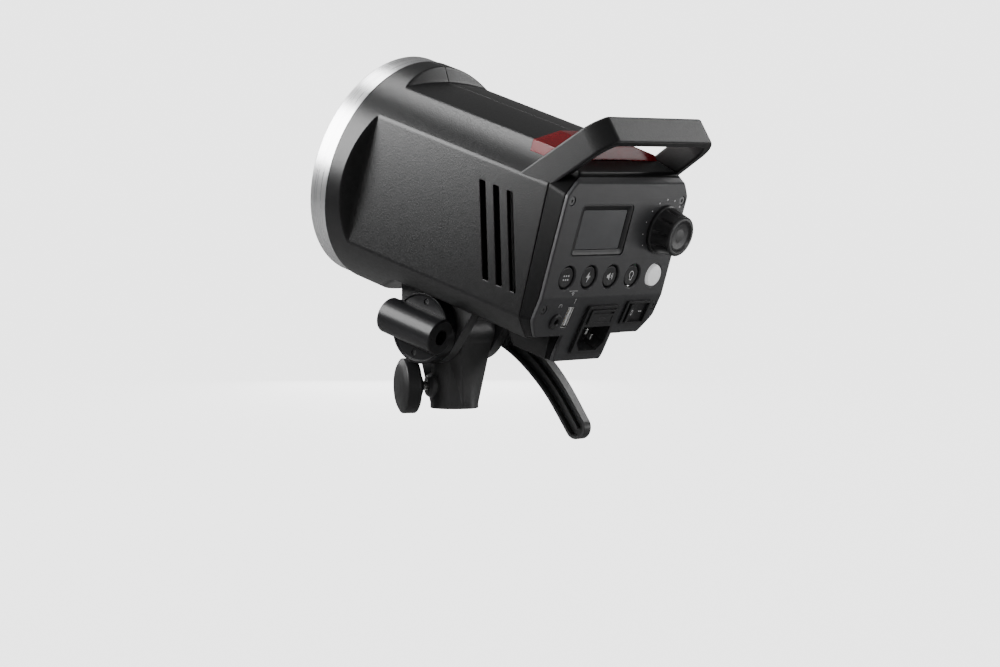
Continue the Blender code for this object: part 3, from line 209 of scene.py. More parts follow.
# ---- materials ---------------------------------------------------------------
class Surface:
    """A Principled material with node-made colour variation, roughness and fine relief."""

    def __init__(self, name, colour, roughness, metallic=0.0, coat=0.0, transmission=0.0,
                 ior=1.5, specular=0.5):
        self.material = bpy.data.materials.new(name)
        self.material.use_nodes = True
        self.nodes = self.material.node_tree.nodes
        self.links = self.material.node_tree.links
        self.shader = self.nodes["Principled BSDF"]
        self.colour = colour
        self.roughness = roughness
        self.set("Metallic", metallic)
        self.set("Coat Weight", coat)
        self.set("Transmission Weight", transmission)
        self.set("IOR", ior)
        self.set("Specular IOR Level", specular)
        self.place = self.nodes.new("ShaderNodeTexCoord").outputs["Object"]
        self.normal = None

    def set(self, socket, value):
        self.shader.inputs[socket].default_value = value

    def noise(self, size, detail=3.0, place=None, rough=0.55):
        node = self.nodes.new("ShaderNodeTexNoise")
        node.inputs["Scale"].default_value = 1.0 / size
        node.inputs["Detail"].default_value = detail
        node.inputs["Roughness"].default_value = rough
        self.links.new(place or self.place, node.inputs["Vector"])
        return node.outputs["Fac"]

    def cells(self, size):
        node = self.nodes.new("ShaderNodeTexVoronoi")
        node.inputs["Scale"].default_value = 1.0 / size
        self.links.new(self.place, node.inputs["Vector"])
        return node.outputs["Distance"]

    def spread(self, value, low, high, start=0.25, end=0.75):
        """The value, stretched from start..end to low..high."""
        node = self.nodes.new("ShaderNodeMapRange")
        node.inputs["From Min"].default_value = start
        node.inputs["From Max"].default_value = end
        node.inputs["To Min"].default_value = low
        node.inputs["To Max"].default_value = high
        self.links.new(value, node.inputs["Value"])
        return node.outputs["Result"]

    def mottled(self, size, amount):
        """Colour that drifts lighter and darker over patches of about size."""
        mix = self.nodes.new("ShaderNodeMix")
        mix.data_type = "RGBA"
        mix.inputs[6].default_value = (*[c * (1 - amount) for c in self.colour], 1.0)
        mix.inputs[7].default_value = (*[min(1.0, c * (1 + amount)) for c in self.colour], 1.0)
        self.links.new(self.spread(self.noise(size), 0.0, 1.0), mix.inputs["Factor"])
        self.links.new(mix.outputs[2], self.shader.inputs["Base Color"])
        return self

    def uneven(self, size, amount, place=None):
        """Roughness that varies over patches of about size."""
        fac = self.spread(self.noise(size, place=place), self.roughness - amount,
                          self.roughness + amount)
        self.links.new(fac, self.shader.inputs["Roughness"])
        return self

    def relief(self, height, depth):
        """Adds a fine relief of this depth in metres."""
        bump = self.nodes.new("ShaderNodeBump")
        bump.inputs["Distance"].default_value = depth
        self.links.new(height, bump.inputs["Height"])
        if self.normal is not None:
            self.links.new(self.normal, bump.inputs["Normal"])
        self.normal = bump.outputs["Normal"]
        self.links.new(self.normal, self.shader.inputs["Normal"])
        return self

    def grained(self, size, depth, detail=3.0):
        return self.relief(self.noise(size, detail), depth)

    def dimpled(self, size, depth):
        return self.relief(self.cells(size), depth)

    def turned_marks(self, frame, size, depth):
        """Fine rings left by turning, about the frame's Y axis."""
        mapping = self.nodes.new("ShaderNodeMapping")
        mapping.vector_type = "POINT"
        back = frame.inverted()
        mapping.inputs["Location"].default_value = back.translation
        mapping.inputs["Rotation"].default_value = back.to_euler()
        self.links.new(self.place, mapping.inputs["Vector"])
        apart = self.nodes.new("ShaderNodeSeparateXYZ")
        self.links.new(mapping.outputs["Vector"], apart.inputs["Vector"])
        flat = self.nodes.new("ShaderNodeCombineXYZ")
        self.links.new(apart.outputs["X"], flat.inputs["X"])
        self.links.new(apart.outputs["Z"], flat.inputs["Y"])
        length = self.nodes.new("ShaderNodeVectorMath")
        length.operation = "LENGTH"
        self.links.new(flat.outputs["Vector"], length.inputs[0])
        rings = self.nodes.new("ShaderNodeCombineXYZ")
        self.links.new(length.outputs["Value"], rings.inputs["X"])
        self.links.new(apart.outputs["Y"], rings.inputs["Y"])
        marks = self.noise(size, 2.0, rings.outputs["Vector"])
        self.uneven(size * 2, 0.06, rings.outputs["Vector"])
        return self.relief(marks, depth)


def moulded(name, colour, roughness, grain, depth, specular=0.5):
    """Moulded plastic or paint with a fine pebbled grain."""
    made = Surface(name, colour, roughness, specular=specular)
    return made.mottled(0.020, 0.10).uneven(0.0016, 0.04).grained(grain, depth, 1.0)


def brushed_panel():
    """Satin paint with faint lines across the panel."""
    made = Surface("panel_grey", (0.052, 0.052, 0.055), 0.40)
    stretch = made.nodes.new("ShaderNodeMapping")
    stretch.inputs["Scale"].default_value = (0.03, 1.0, 1.0)
    made.links.new(made.place, stretch.inputs["Vector"])
    lines = made.noise(0.00035, 3.0, stretch.outputs["Vector"])
    made.mottled(0.020, 0.10).uneven(0.0006, 0.05, stretch.outputs["Vector"])
    return made.relief(lines, 0.000012).grained(0.0003, 0.000005)


def milky_plastic_painted_glow():
    """White plastic that light gets into, with a painted glow: it emits light, though no lamp is
    built under it.
    """
    made = Surface("milky_button_painted_glow", (0.88, 0.88, 0.89), 0.28, coat=0.3)
    made.set("Subsurface Weight", 0.35)
    made.set("Subsurface Radius", (0.004, 0.004, 0.004))
    # Painted glow: a white emission that makes the test button look lit.
    made.set("Emission Color", (1.0, 1.0, 1.0, 1.0))
    made.set("Emission Strength", 0.45)
    return made.mottled(0.003, 0.04).uneven(0.002, 0.04)


def make_materials():
    """Every finish, by the short name the pieces use."""
    made = {
        "black": moulded("grained_black", (0.0060, 0.0060, 0.0064), 0.33, 0.00080, 0.000060, 0.50),
        "rear": moulded("fine_black", (0.0050, 0.0050, 0.0053), 0.32, 0.00060, 0.000030, 0.12),
        "strap": moulded("strap_black", (0.0160, 0.0160, 0.0165), 0.42, 0.00080, 0.000060, 0.40),
        "gloss": moulded("gloss_black", (0.014, 0.014, 0.015), 0.31, 0.00080, 0.000005, 0.35),
        "cast": moulded("painted_black", (0.055, 0.055, 0.056), 0.36, 0.00080, 0.000014),
        "knob": moulded("matt_black", (0.010, 0.010, 0.0104), 0.46, 0.00080, 0.000014),
        "dark": moulded("satin_black", (0.032, 0.032, 0.033), 0.32, 0.00035, 0.000006),
        "button": moulded("button_black", (0.016, 0.016, 0.017), 0.34, 0.00030, 0.000004),
        "inner": moulded("inner_black", (0.006, 0.006, 0.006), 0.60, 0.00050, 0.000020),
        "screw": moulded("black_oxide", (0.040, 0.040, 0.042), 0.30, 0.00030, 0.000008, 0.9),
        "panel": brushed_panel(),
        "milky": milky_plastic_painted_glow(),
        "ring": Surface("turned_aluminium", (0.90, 0.90, 0.91), 0.30, metallic=1.0)
                .mottled(0.030, 0.02).turned_marks(LAMP, 0.00035, 0.000010),
        "steel": Surface("plated_steel", (0.72, 0.72, 0.71), 0.22, metallic=1.0)
                 .mottled(0.004, 0.08).uneven(0.0008, 0.08),
        "fins": Surface("extruded_aluminium", (0.70, 0.70, 0.71), 0.38, metallic=1.0)
                .mottled(0.010, 0.05).uneven(0.0006, 0.08),
        "contact": Surface("brass_contact", (0.80, 0.62, 0.32), 0.25, metallic=1.0)
                   .mottled(0.002, 0.10).uneven(0.0006, 0.08),
        "bowl": Surface("bright_reflector", (0.62, 0.62, 0.63), 0.22, metallic=1.0)
                .mottled(0.02, 0.03).dimpled(0.0022, 0.00012),
        "red": Surface("clear_red", (0.30, 0.003, 0.010), 0.18, transmission=0.45, ior=1.49,
                       specular=0.14).mottled(0.012, 0.18).uneven(0.003, 0.03),
        "screen": Surface("display_glass", (0.105, 0.107, 0.112), 0.12, coat=0.4)
                  .mottled(0.030, 0.10).uneven(0.010, 0.02),
        "white": Surface("white_print", (0.93, 0.93, 0.93), 0.50)
                 .mottled(0.002, 0.05).uneven(0.0006, 0.06),
        "glass": Surface("tube_glass", (0.97, 0.98, 0.98), 0.03, transmission=0.95, ior=1.46)
                 .mottled(0.010, 0.02).uneven(0.004, 0.015),
        "frost": Surface("frosted_dome", (0.95, 0.94, 0.88), 0.45, transmission=0.35)
                 .mottled(0.003, 0.03).grained(0.0004, 0.00002),
        "ceramic": Surface("ceramic", (0.82, 0.81, 0.77), 0.50)
                   .mottled(0.004, 0.05).grained(0.0003, 0.00001),
        "board": Surface("circuit_board", (0.015, 0.110, 0.045), 0.38, coat=0.4)
                 .mottled(0.003, 0.35).dimpled(0.002, 0.00005),
        "sleeve": Surface("capacitor_sleeve", (0.020, 0.035, 0.10), 0.32)
                  .mottled(0.010, 0.15).uneven(0.003, 0.06),
    }
    return {key: surface.material for key, surface in made.items()}


# ---- mesh helpers --------------------------------------------------------------
def mesh_piece(name, verts, faces):
    mesh = bpy.data.meshes.new(name)
    mesh.from_pydata([tuple(v) for v in verts], [], faces)
    mesh.update()
    return linked(name, mesh)


def from_bmesh(name, bm):
    mesh = bpy.data.meshes.new(name)
    bmesh.ops.recalc_face_normals(bm, faces=bm.faces)
    bm.to_mesh(mesh)
    bm.free()
    return linked(name, mesh)


def baked(obj):
    """The object with its modifiers or curve settings turned into plain mesh."""
    bpy.context.view_layer.update()
    graph = bpy.context.evaluated_depsgraph_get()
    mesh = bpy.data.meshes.new_from_object(obj.evaluated_get(graph))
    bm = bmesh.new()
    bm.from_mesh(mesh)
    bmesh.ops.remove_doubles(bm, verts=bm.verts, dist=1e-6)
    name = obj.name
    bpy.data.objects.remove(obj, do_unlink=True)
    return from_bmesh(name, bm)


def combine(obj, operation, tools):
    """The object after Boolean work with the tools, which are used up."""
    for tool in tools:
        step = obj.modifiers.new(operation, "BOOLEAN")
        step.operation = operation
        step.solver = "EXACT"
        step.object = tool
    made = baked(obj)
    for tool in tools:
        bpy.data.objects.remove(tool, do_unlink=True)
    return made


def cut(obj, *tools):
    return combine(obj, "DIFFERENCE", tools)


def join(obj, *tools):
    return combine(obj, "UNION", tools)


def soften(obj, width, segments=3, angle=35.0):
    """Rounded edges, worked into the mesh."""
    bevel = obj.modifiers.new("soften", "BEVEL")
    bevel.width = width
    bevel.segments = segments
    bevel.limit_method = "ANGLE"
    bevel.angle_limit = math.radians(angle)
    bevel.use_clamp_overlap = True
    return baked(obj)


PLANES = {
    "XY": Matrix(((1, 0, 0), (0, 1, 0), (0, 0, 1))),
    "XZ": Matrix(((1, 0, 0), (0, 0, 1), (0, 1, 0))),
    "YZ": Matrix(((0, 0, 1), (1, 0, 0), (0, 1, 0))),
}


def prism(name, loops, plane, low, high):
    """Flat outlines in a plane, with any holes, extruded across it from low to high."""
    curve = bpy.data.curves.new(name, "CURVE")
    curve.dimensions = "2D"
    curve.fill_mode = "BOTH"
    curve.extrude = (high - low) / 2
    for loop in loops:
        spline = curve.splines.new("POLY")
        spline.points.add(len(loop) - 1)
        for point, (u, v) in zip(spline.points, loop):
            point.co = (u, v, 0.0, 1.0)
        spline.use_cyclic_u = True
    solid = baked(linked(name, curve))
    turn = PLANES[plane].to_4x4()
    middle = PLANES[plane] @ Vector((0.0, 0.0, (low + high) / 2))
    solid.data.transform(Matrix.Translation(middle) @ turn)
    if turn.determinant() < 0:
        solid.data.flip_normals()
    return solid


def block(name, low, high):
    bm = bmesh.new()
    bmesh.ops.create_cube(bm, size=1.0)
    low, high = Vector(low), Vector(high)
    bmesh.ops.scale(bm, vec=high - low, verts=bm.verts)
    bmesh.ops.translate(bm, vec=(low + high) / 2, verts=bm.verts)
    return from_bmesh(name, bm)


def rod(name, centre, axis, radius, low, high, segments=48, end_radius=None):
    """Cylinder or cone along axis, from low to high measured from centre."""
    bm = bmesh.new()
    bmesh.ops.create_cone(bm, cap_ends=True, segments=segments, radius1=radius,
                          radius2=radius if end_radius is None else end_radius,
                          depth=high - low)
    axis = Vector(axis).normalized()
    middle = Vector(centre) + axis * ((low + high) / 2)
    turn = axis.to_track_quat("Z", "Y").to_matrix().to_4x4()
    bmesh.ops.transform(bm, matrix=Matrix.Translation(middle) @ turn, verts=bm.verts)
    return from_bmesh(name, bm)


def arc(centre, radius, start, end, steps):
    """Points along an arc in a plane, both ends included, angles in degrees."""
    angles = np.radians(np.linspace(start, end, steps + 1))
    return [(centre[0] + radius * math.cos(a), centre[1] + radius * math.sin(a))
            for a in angles]


def eased(corners, closed=True, steps=4):
    """Path through corners (u, v, radius), each one rounded by its radius."""
    path = []
    count = len(corners)
    for index, (u, v, radius) in enumerate(corners):
        here = Vector((u, v))
        inside = closed or 0 < index < count - 1
        if radius <= 0.0 or not inside:
            path.append((u, v))
            continue
        before = (Vector(corners[index - 1][:2]) - here).normalized()
        after = (Vector(corners[(index + 1) % count][:2]) - here).normalized()
        half = before.angle(after) / 2
        if half > math.radians(88.0):
            path.append((u, v))
            continue
        back = radius / math.tan(half)
        middle = here + (before + after).normalized() * (radius / math.sin(half))
        start, end = here + before * back - middle, here + after * back - middle
        first = math.atan2(start.y, start.x)
        sweep = math.atan2(end.y, end.x) - first
        sweep = (sweep + math.pi) % (2 * math.pi) - math.pi
        for step in range(steps + 1):
            angle = first + sweep * step / steps
            path.append((middle.x + radius * math.cos(angle),
                         middle.y + radius * math.sin(angle)))
    return path


def round_box(width, height, radius, centre=(0.0, 0.0), steps=6):
    u, v = width / 2, height / 2
    corners = [(u, v), (-u, v), (-u, -v), (u, -v)]
    return eased([(centre[0] + a, centre[1] + b, radius) for a, b in corners], steps=steps)


def skin(name, rows, wrap=False, caps=False):
    """Surface over rows of points. Wrap joins each row's ends; caps closes both ends."""
    count = len(rows[0])
    verts = [point for row in rows for point in row]
    faces = []
    for r in range(len(rows) - 1):
        for c in range(count if wrap else count - 1):
            d = (c + 1) % count
            faces.append((r * count + c, r * count + d, (r + 1) * count + d,
                          (r + 1) * count + c))
    if caps:
        last = (len(rows) - 1) * count
        faces.append(tuple(reversed(range(count))))
        faces.append(tuple(range(last, last + count)))
    obj = mesh_piece(name, verts, faces)
    bm = bmesh.new()
    bm.from_mesh(obj.data)
    bmesh.ops.remove_doubles(bm, verts=bm.verts, dist=1e-7)
    bmesh.ops.recalc_face_normals(bm, faces=bm.faces)
    bm.to_mesh(obj.data)
    bm.free()
    return obj


def lathe(name, profile, axis=(0, 1, 0), centre=(0, 0, 0), steps=96, closed=False,
          shape=None):
    """Path of (radius, height) turned about axis; shape(angle, height) trims the radius."""
    turn = Vector(axis).normalized().to_track_quat("Z", "Y").to_matrix()
    middle = Vector(centre)
    path = list(profile) + ([profile[0]] if closed else [])
    rows = []
    for radius, height in path:
        row = []
        for step in range(steps):
            angle = step * math.tau / steps
            reach = radius + (shape(angle, radius, height) if shape else 0.0)
            row.append(middle + turn @ Vector((reach * math.cos(angle),
                                               reach * math.sin(angle), height)))
        rows.append(row)
    return skin(name, rows, wrap=True)


def tube_along(name, points, radius, sides=8):
    """Round wire along points; both ends are closed."""
    rows = []
    for index, point in enumerate(points):
        ahead = Vector(points[min(index + 1, len(points) - 1)])
        behind = Vector(points[max(index - 1, 0)])
        turn = (ahead - behind).to_track_quat("Z", "Y").to_matrix()
        rows.append([Vector(point) + turn @ Vector((radius * math.cos(a), radius * math.sin(a),
                                                    0.0))
                     for a in np.arange(sides) * math.tau / sides])
    return skin(name, rows, wrap=True, caps=True)


def place_piece(obj, frame, body, material, slot_name, nodes=(), edge=None, sharp=35.0):
    """Put a finished piece on its body, with its material and the CAD nodes it shows."""
    obj.data.transform(frame)
    obj.data.materials.clear()
    obj.data.materials.append(material)
    if edge:
        bevel = obj.modifiers.new("edge", "BEVEL")
        bevel.width = edge
        bevel.segments = 3
        bevel.limit_method = "ANGLE"
        bevel.angle_limit = math.radians(32.0)
    obj.data.shade_smooth()
    obj.data.set_sharp_from_angle(angle=math.radians(sharp))
    normals = obj.modifiers.new("normals", "WEIGHTED_NORMAL")
    normals.keep_sharp = True
    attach(obj, body)
    if nodes:
        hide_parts(*nodes)
    return obj


def on_head(obj, material, slot_name, *nodes, **look):
    """A finished piece drawn in the lamp's frame, which rides on the head."""
    return place_piece(obj, LAMP, "head", material, slot_name, nodes, **look)


def turned(name, corners, axis=(0, 1, 0), centre=(0, 0, 0), steps=96, ease=4, closed=False,
           shape=None):
    """A lathe piece whose corners (radius, height, rounding) are eased first."""
    return lathe(name, eased(corners, closed, ease), axis, centre, steps, closed, shape)


def axle(name, *measures, **more):
    """A rod along the tilt axis."""
    return rod(name, (0, 0, 0), (1, 0, 0), *measures, **more)


def panel_rod(name, x, z, *measures, **more):
    """A rod through the panel; its ends are measured from the panel's face."""
    return rod(name, (x, PANEL_Y, z), (0, 1, 0), *measures, **more)


def panel_block(name, x, z, half_width, half_height, front, back):
    """A block square to the panel; front and back are measured from the panel's face."""
    return block(name, (x - half_width, PANEL_Y + front, z - half_height),
                 (x + half_width, PANEL_Y + back, z + half_height))


def panel_plate(name, width, height, radius, centre, front, back):
    """A plate with round corners, parallel to the panel."""
    return prism(name, [round_box(width, height, radius, centre)], "XZ", PANEL_Y + front,
                 PANEL_Y + back)


def panel_part(name, x, z, width, height, radius, front, soft=0.0):
    """A frame on the panel's face and the smaller body behind it, as one solid."""
    part = panel_plate(name, width, height, radius, (x, z), front, -GAP)
    if soft:
        part = soften(part, soft)
    return join(part, panel_block(name + "_rear", x, z, width / 2 - FRAME_WALL,
                                  height / 2 - FRAME_WALL, -0.001, 0.0105))


def slanted(obj):
    """Move a shape drawn on the panel's upper plane to its slanted lower part."""
    hinge = Vector((0.0, PANEL_Y, PANEL_BREAK_Z))
    turn = Matrix.Rotation(PANEL_SLANT, 4, "X")
    obj.data.transform(Matrix.Translation(hinge) @ turn @ Matrix.Translation(-hinge))
    return obj


# ---- the housing's shape ---------------------------------------------------------
FAR = 1.0


def soft_min(a, b, blend=EDGE_BLEND):
    near = np.clip(blend - np.abs(a - b), 0.0, None) / blend
    return np.minimum(a, b) - near * near * blend / 4


def soft_max(a, b, blend=EDGE_BLEND):
    return -soft_min(-a, -b, blend)


def ramp(value, width=0.0006):
    """Zero below 0 and the value above it, with a smooth start."""
    return soft_max(value, np.zeros_like(value), width)


def to_plane(distance, cosine):
    """How far a ray runs to a plane at this distance, with this cosine to its normal."""
    return np.where(cosine > 0.02, distance / np.maximum(cosine, 0.02), FAR)


def keel_reach(cos, sin, depth, corner):
    return soft_min(to_plane(KEEL_X, np.abs(cos)), to_plane(depth, -sin), corner)


def housing_reach(cos, sin, y):
    """Distance from the light axis to the housing's outside, by direction and depth."""
    side = SIDE_X + SIDE_RAMP * ramp(y - SIDE_FRONT_Y)
    reach = soft_min(np.full_like(y, BODY_R), to_plane(side, np.abs(cos)))
    crown = (TOP_MID_Z - TOP_EDGE_Z) / TOP_EDGE_X ** 2
    height = TOP_MID_Z + TOP_RAMP * ramp(y - TOP_FRONT_Y)
    bend = np.maximum(crown * cos * cos, 1e-6)
    top = (-sin + np.sqrt(sin * sin + 4 * height * bend)) / (2 * bend)
    reach = soft_min(reach, np.where(sin > 0.2, top, FAR))
    belly = BELLY_Z + BELLY_RAMP * ramp(y - BELLY_FRONT_Y)
    reach = soft_min(reach, to_plane(belly, -sin))
    depth = BELLY_Z - 0.004 + np.minimum(KEEL_RAMP * ramp(KEEL_FRONT_Y - y + 0.0037),
                                         KEEL_Z - BELLY_Z + 0.004)
    keel = np.where(-sin > 0.6, keel_reach(cos, sin, depth, 0.0012), 0.0)
    return soft_max(reach, keel)


def rear_reach(cos, sin, y):
    """The same for the rear cover and the panel's outline."""
    along = np.clip((SEAM_Y - y) / (SEAM_Y - PANEL_Y), 0.0, 1.0)
    reach = soft_min(np.full_like(y, BODY_R), to_plane(SIDE_X + 0.0015 * along, np.abs(cos)))
    roof = np.interp(-y, [0.140, 0.176, -PANEL_Y], [0.0602, 0.0511, 0.0457])
    reach = soft_min(reach, to_plane(roof, sin))
    floor = np.interp(-y, [0.165, 0.1754], [0.0530, 0.0493])
    reach = soft_min(reach, to_plane(floor, -sin))
    keel = np.where(-sin > 0.6, keel_reach(cos, sin, np.full_like(y, KEEL_Z), 0.0060), 0.0)
    return soft_max(reach, keel)


def directions(start, end):
    """Angles between two, denser where the section has its edges."""
    edges = [34.4, 145.6, 55.6, 124.4, 228.9, 311.1, -34.4, 214.4, 325.6, 250.2, 289.8,
             245.6, 294.4, -48.9, -131.1]
    angles = set(np.round(np.arange(start, end + 0.01, 0.75), 3))
    for edge in edges:
        for turn in (-360, 0, 360):
            near = edge + turn
            angles |= {a for a in np.round(np.arange(near - 2.0, near + 2.1, 0.25), 3)
                       if start < a < end}
    spaced = [start]
    for angle in sorted(angles):
        if angle - spaced[-1] > 0.12:
            spaced.append(angle)
    spaced[-1] = end
    return np.radians(spaced)


def seam_y(z):
    return SEAM_Y + SEAM_LEAN * z


def panel_y(z, depth):
    return PANEL_Y + depth + np.maximum(0.0, PANEL_BREAK_Z - z) * math.tan(PANEL_SLANT)


def shell_rows(angles, lines, reach, inset_ends=None):
    """Rows of points round the light axis. A line is (its y as a function of z, its inset)."""
    cos, sin = np.cos(angles), np.sin(angles)
    rows = []
    for y_of, inset in lines:
        radius = np.full_like(angles, SIDE_X)
        for _ in range(3):
            y = y_of(radius * sin)
            radius = reach(cos, sin, y)
        radius = radius - inset
        if inset_ends is not None:
            radius = radius - inset_ends
        rows.append([Vector((r * c, yy, r * s)) for r, c, s, yy in zip(radius, cos, sin, y)])
    return rows


def flat_line(y):
    return lambda z: np.full_like(z, y)


def mixed_line(front_y, share):
    """A line part of the way from a flat front line to the seam."""
    return lambda z: front_y * (1 - share) + seam_y(z) * share


VENT_BACK_Y, VENT_FRONT_Y, VENT_Z = -0.1580, -0.1080, 0.0330


def vent_outline(index, grow=0.0):
    """One leaning vent slot in the side wall, with round corners."""
    top, lean, half, z = -0.1167 - 0.0106 * index, 0.0200, 0.0026 + grow, 0.0277 + grow
    points = [(top + half, z), (top - half, z), (top - lean - half, -z), (top - lean + half, -z)]
    return eased([(y, w, 0.0009 + max(grow, -0.0006)) for y, w in points], steps=4)


def vent_wall(name, side, boundary):
    """Flat part of the side wall with its three slots, whose rims are rounded."""
    bm = bmesh.new()
    rim, wall = 0.00045, 0.0030
    loops = [boundary] + [vent_outline(index) for index in range(3)]
    edges = []
    for loop in loops:
        corners = [bm.verts.new((side * SIDE_X, y, z)) for y, z in loop]
        edges += [bm.edges.new((a, b)) for a, b in zip(corners, corners[1:] + corners[:1])]
    bmesh.ops.triangle_fill(bm, use_beauty=True, use_dissolve=False, edges=edges)
    for index in range(3):
        rings = []
        for angle in (0, 30, 60, 90):
            inset = rim * math.sin(math.radians(angle))
            depth = rim * (1 - math.cos(math.radians(angle)))
            rings.append([bm.verts.new((side * (SIDE_X - depth), y, z))
                          for y, z in vent_outline(index, -inset)])
        rings.append([bm.verts.new((side * (SIDE_X - wall), y, z))
                      for y, z in vent_outline(index, -rim)])
        for first, second in zip(rings, rings[1:]):
            count = len(first)
            for i in range(count):
                j = (i + 1) % count
                bm.faces.new((first[i], first[j], second[j], second[i]))
    bmesh.ops.remove_doubles(bm, verts=bm.verts, dist=1e-6)
    return from_bmesh(name, bm)


def housing_half(side):
    """One moulded half: round at the ring, then flat-sided, with the vents let in."""
    start, end = (90.0, 270.0) if side < 0 else (-90.0, 90.0)
    bare = directions(start, end)
    step = [0.0, 0.0, 0.0001 / 0.06, 0.0004 / 0.06]
    lip = [0.0020, 0.00014, 0.00003, 0.0]
    gap = GAP / 2 / 0.06
    core = bare[(bare > bare[0] + 0.016) & (bare < bare[-1] - 0.016)]
    angles = np.concatenate([[bare[0] + gap + s for s in step], core,
                             [bare[-1] - gap - s for s in reversed(step)]])
    ends = np.zeros_like(angles)
    ends[:4], ends[-4:] = lip, lip[::-1]
    front = -RING_DEPTH - GAP
    lines = [(flat_line(front), 0.0030), (flat_line(front), 0.0004),
             (flat_line(front - 0.0001), 0.0001), (flat_line(front - 0.0005), 0.0)]
    ys = list(np.arange(-0.0145, -0.0210, -0.0015)) + list(np.arange(-0.0215, -0.0345, -0.0005))
    ys += list(np.arange(-0.036, -0.060, -0.004)) + list(np.arange(-0.0600, -0.0660, -0.0006))
    ys += list(np.arange(-0.070, -0.107, -0.006))
    lines += [(flat_line(y), 0.0) for y in ys]
    lines.append((flat_line(VENT_FRONT_Y), 0.0))
    rear = [-0.112, -0.118, -0.124] + list(np.arange(-0.1260, -0.1330, -0.0005))
    rear += [-0.1335, -0.1345, -0.1355, -0.137, -0.139] + list(np.arange(-0.1400, -0.1445,
            -0.0006))
    rear += [-0.148, -0.152, VENT_BACK_Y, -0.1605, -0.1612, -0.1625, -0.1640]
    depth = SEAM_Y - VENT_FRONT_Y
    for y in rear:
        share = (y - VENT_FRONT_Y) / depth
        lines.append((mixed_line(VENT_FRONT_Y, share), 0.0))
    last = [(0.0005, 0.0), (0.0001, 0.0001), (0.0, 0.0004), (0.0, 0.0030)]
    lines += [(lambda z, d=d: seam_y(z) + d, inset) for d, inset in last]
    rows = shell_rows(angles, lines, housing_reach, ends)
    open_cover_bay(rows)
    return angles, rows


def open_cover_bay(rows):
    """Sink the top under the red cover into a shallow bay."""
    floor_z, margin = 0.0500, 0.0016
    for row in rows:
        for index, point in enumerate(row):
            inside = (abs(point.x) < COVER_X - margin and point.z > floor_z
                      and point.y < COVER_FRONT_Y - margin
                      - max(0.0, abs(point.x) - 0.0390) * 0.7)
            if inside:
                scale = floor_z / point.z
                row[index] = Vector((point.x * scale, point.y, floor_z))


def build_housing(m):
    for side, node in ((-1, "housing_left"), (1, "housing_right")):
        angles, rows = housing_half(side)
        rows_y = [row[len(row) // 2].y for row in rows]
        first = min(range(len(rows)), key=lambda i: abs(rows_y[i] - VENT_FRONT_Y))
        last = min(range(len(rows)), key=lambda i: abs(rows_y[i] - VENT_BACK_Y))
        middle = math.pi if side < 0 else 0.0
        half = math.atan2(VENT_Z, SIDE_X)
        inside = [i for i, a in enumerate(angles) if abs(a - middle) < half]
        low, high = inside[0], inside[-1]
        count = len(angles)
        verts = [point for row in rows for point in row]
        faces = []
        for r in range(len(rows) - 1):
            for c in range(count - 1):
                if first <= r < last and low <= c < high:
                    continue
                faces.append((r * count + c, r * count + c + 1, (r + 1) * count + c + 1,
                              (r + 1) * count + c))
        rim = [rows[first][c] for c in range(low, high)]
        rim += [rows[r][high] for r in range(first, last)]
        rim += [rows[last][c] for c in range(high, low, -1)]
        rim += [rows[r][low] for r in range(last, first, -1)]
        wall = vent_wall(node + "_wall", side, [(p.y, p.z) for p in rim])
        shell = mesh_piece("shell_" + ("left" if side < 0 else "right"), verts, faces)
        bm = bmesh.new()
        bm.from_mesh(shell.data)
        bm.from_mesh(wall.data)
        bpy.data.objects.remove(wall, do_unlink=True)
        bmesh.ops.remove_doubles(bm, verts=bm.verts, dist=2e-6)
        bmesh.ops.recalc_face_normals(bm, faces=bm.faces)
        bm.to_mesh(shell.data)
        bm.free()
        on_head(shell, m["black"], "black", node, sharp=60.0)
        # A near-black sheet just inside each side's vents: painted shade, so the slots read dark.
        vent_shade_sheet = block("baffle_" + ("left" if side < 0 else "right"),
                       (side * 0.0440, -0.160, -0.038), (side * 0.0430, -0.106, 0.040))
        on_head(vent_shade_sheet, m["inner"], "dark", edge=0.0002)


def build_rear_cover(m):
    angles = directions(-90.0, 270.0)[:-1]
    joint = PANEL_T + GAP

    def between(share):
        return lambda z: (seam_y(z) - GAP) * (1 - share) + panel_y(z, joint) * share
    lines = [(between(0.0), 0.0030), (between(0.0), 0.0004), (between(0.008), 0.0001),
             (between(0.04), 0.0)]
    lines += [(between(s), 0.0) for s in np.linspace(0.1, 0.92, 14)]
    lines += [(between(0.97), 0.0), (between(0.99), 0.0001), (between(1.0), 0.0004),
              (between(1.0), 0.0030)]
    cover = skin("rear_bezel", shell_rows(angles, lines, rear_reach), wrap=True)
    on_head(cover, m["rear"], "black", "rear_cover", sharp=60.0)


def panel_blank():
    """The bent panel with a rounded rim, before its holes are cut."""
    bend = math.degrees(math.atan2(-PANEL_BREAK_Z, SIDE_X + 0.0015))
    angles = set(np.degrees(directions(-90.0, 270.0)[:-1]))
    angles = {a for a in angles if abs(a + bend) > 0.3 and abs(a - 180 - bend) > 0.3}
    angles = np.radians(sorted(angles | {-bend, 180.0 + bend}))
    lines = [(lambda z: panel_y(z, PANEL_T), 0.0)]
    for depth, inset in ((0.0009, 0.0), (0.0006, 0.00006), (0.0003, 0.0002), (0.0001, 0.0005),
                         (0.0, 0.0010)):
        lines.append((lambda z, d=depth: panel_y(z, d), inset))
    rows = shell_rows(angles, lines, rear_reach)
    bm = bmesh.new()
    grid = [[bm.verts.new(p) for p in row] for row in rows]
    count = len(angles)
    for upper, lower in zip(grid, grid[1:]):
        for c in range(count):
            d = (c + 1) % count
            bm.faces.new((upper[c], upper[d], lower[d], lower[c]))
    right = int(np.argmin(np.abs(angles - math.radians(-bend))))
    left = int(np.argmin(np.abs(angles - math.radians(180.0 + bend))))
    for row in (grid[0], grid[-1]):
        bm.faces.new(row[right:left + 1])
        bm.faces.new(row[left:] + row[:right + 1])
    return from_bmesh("panel", bm)


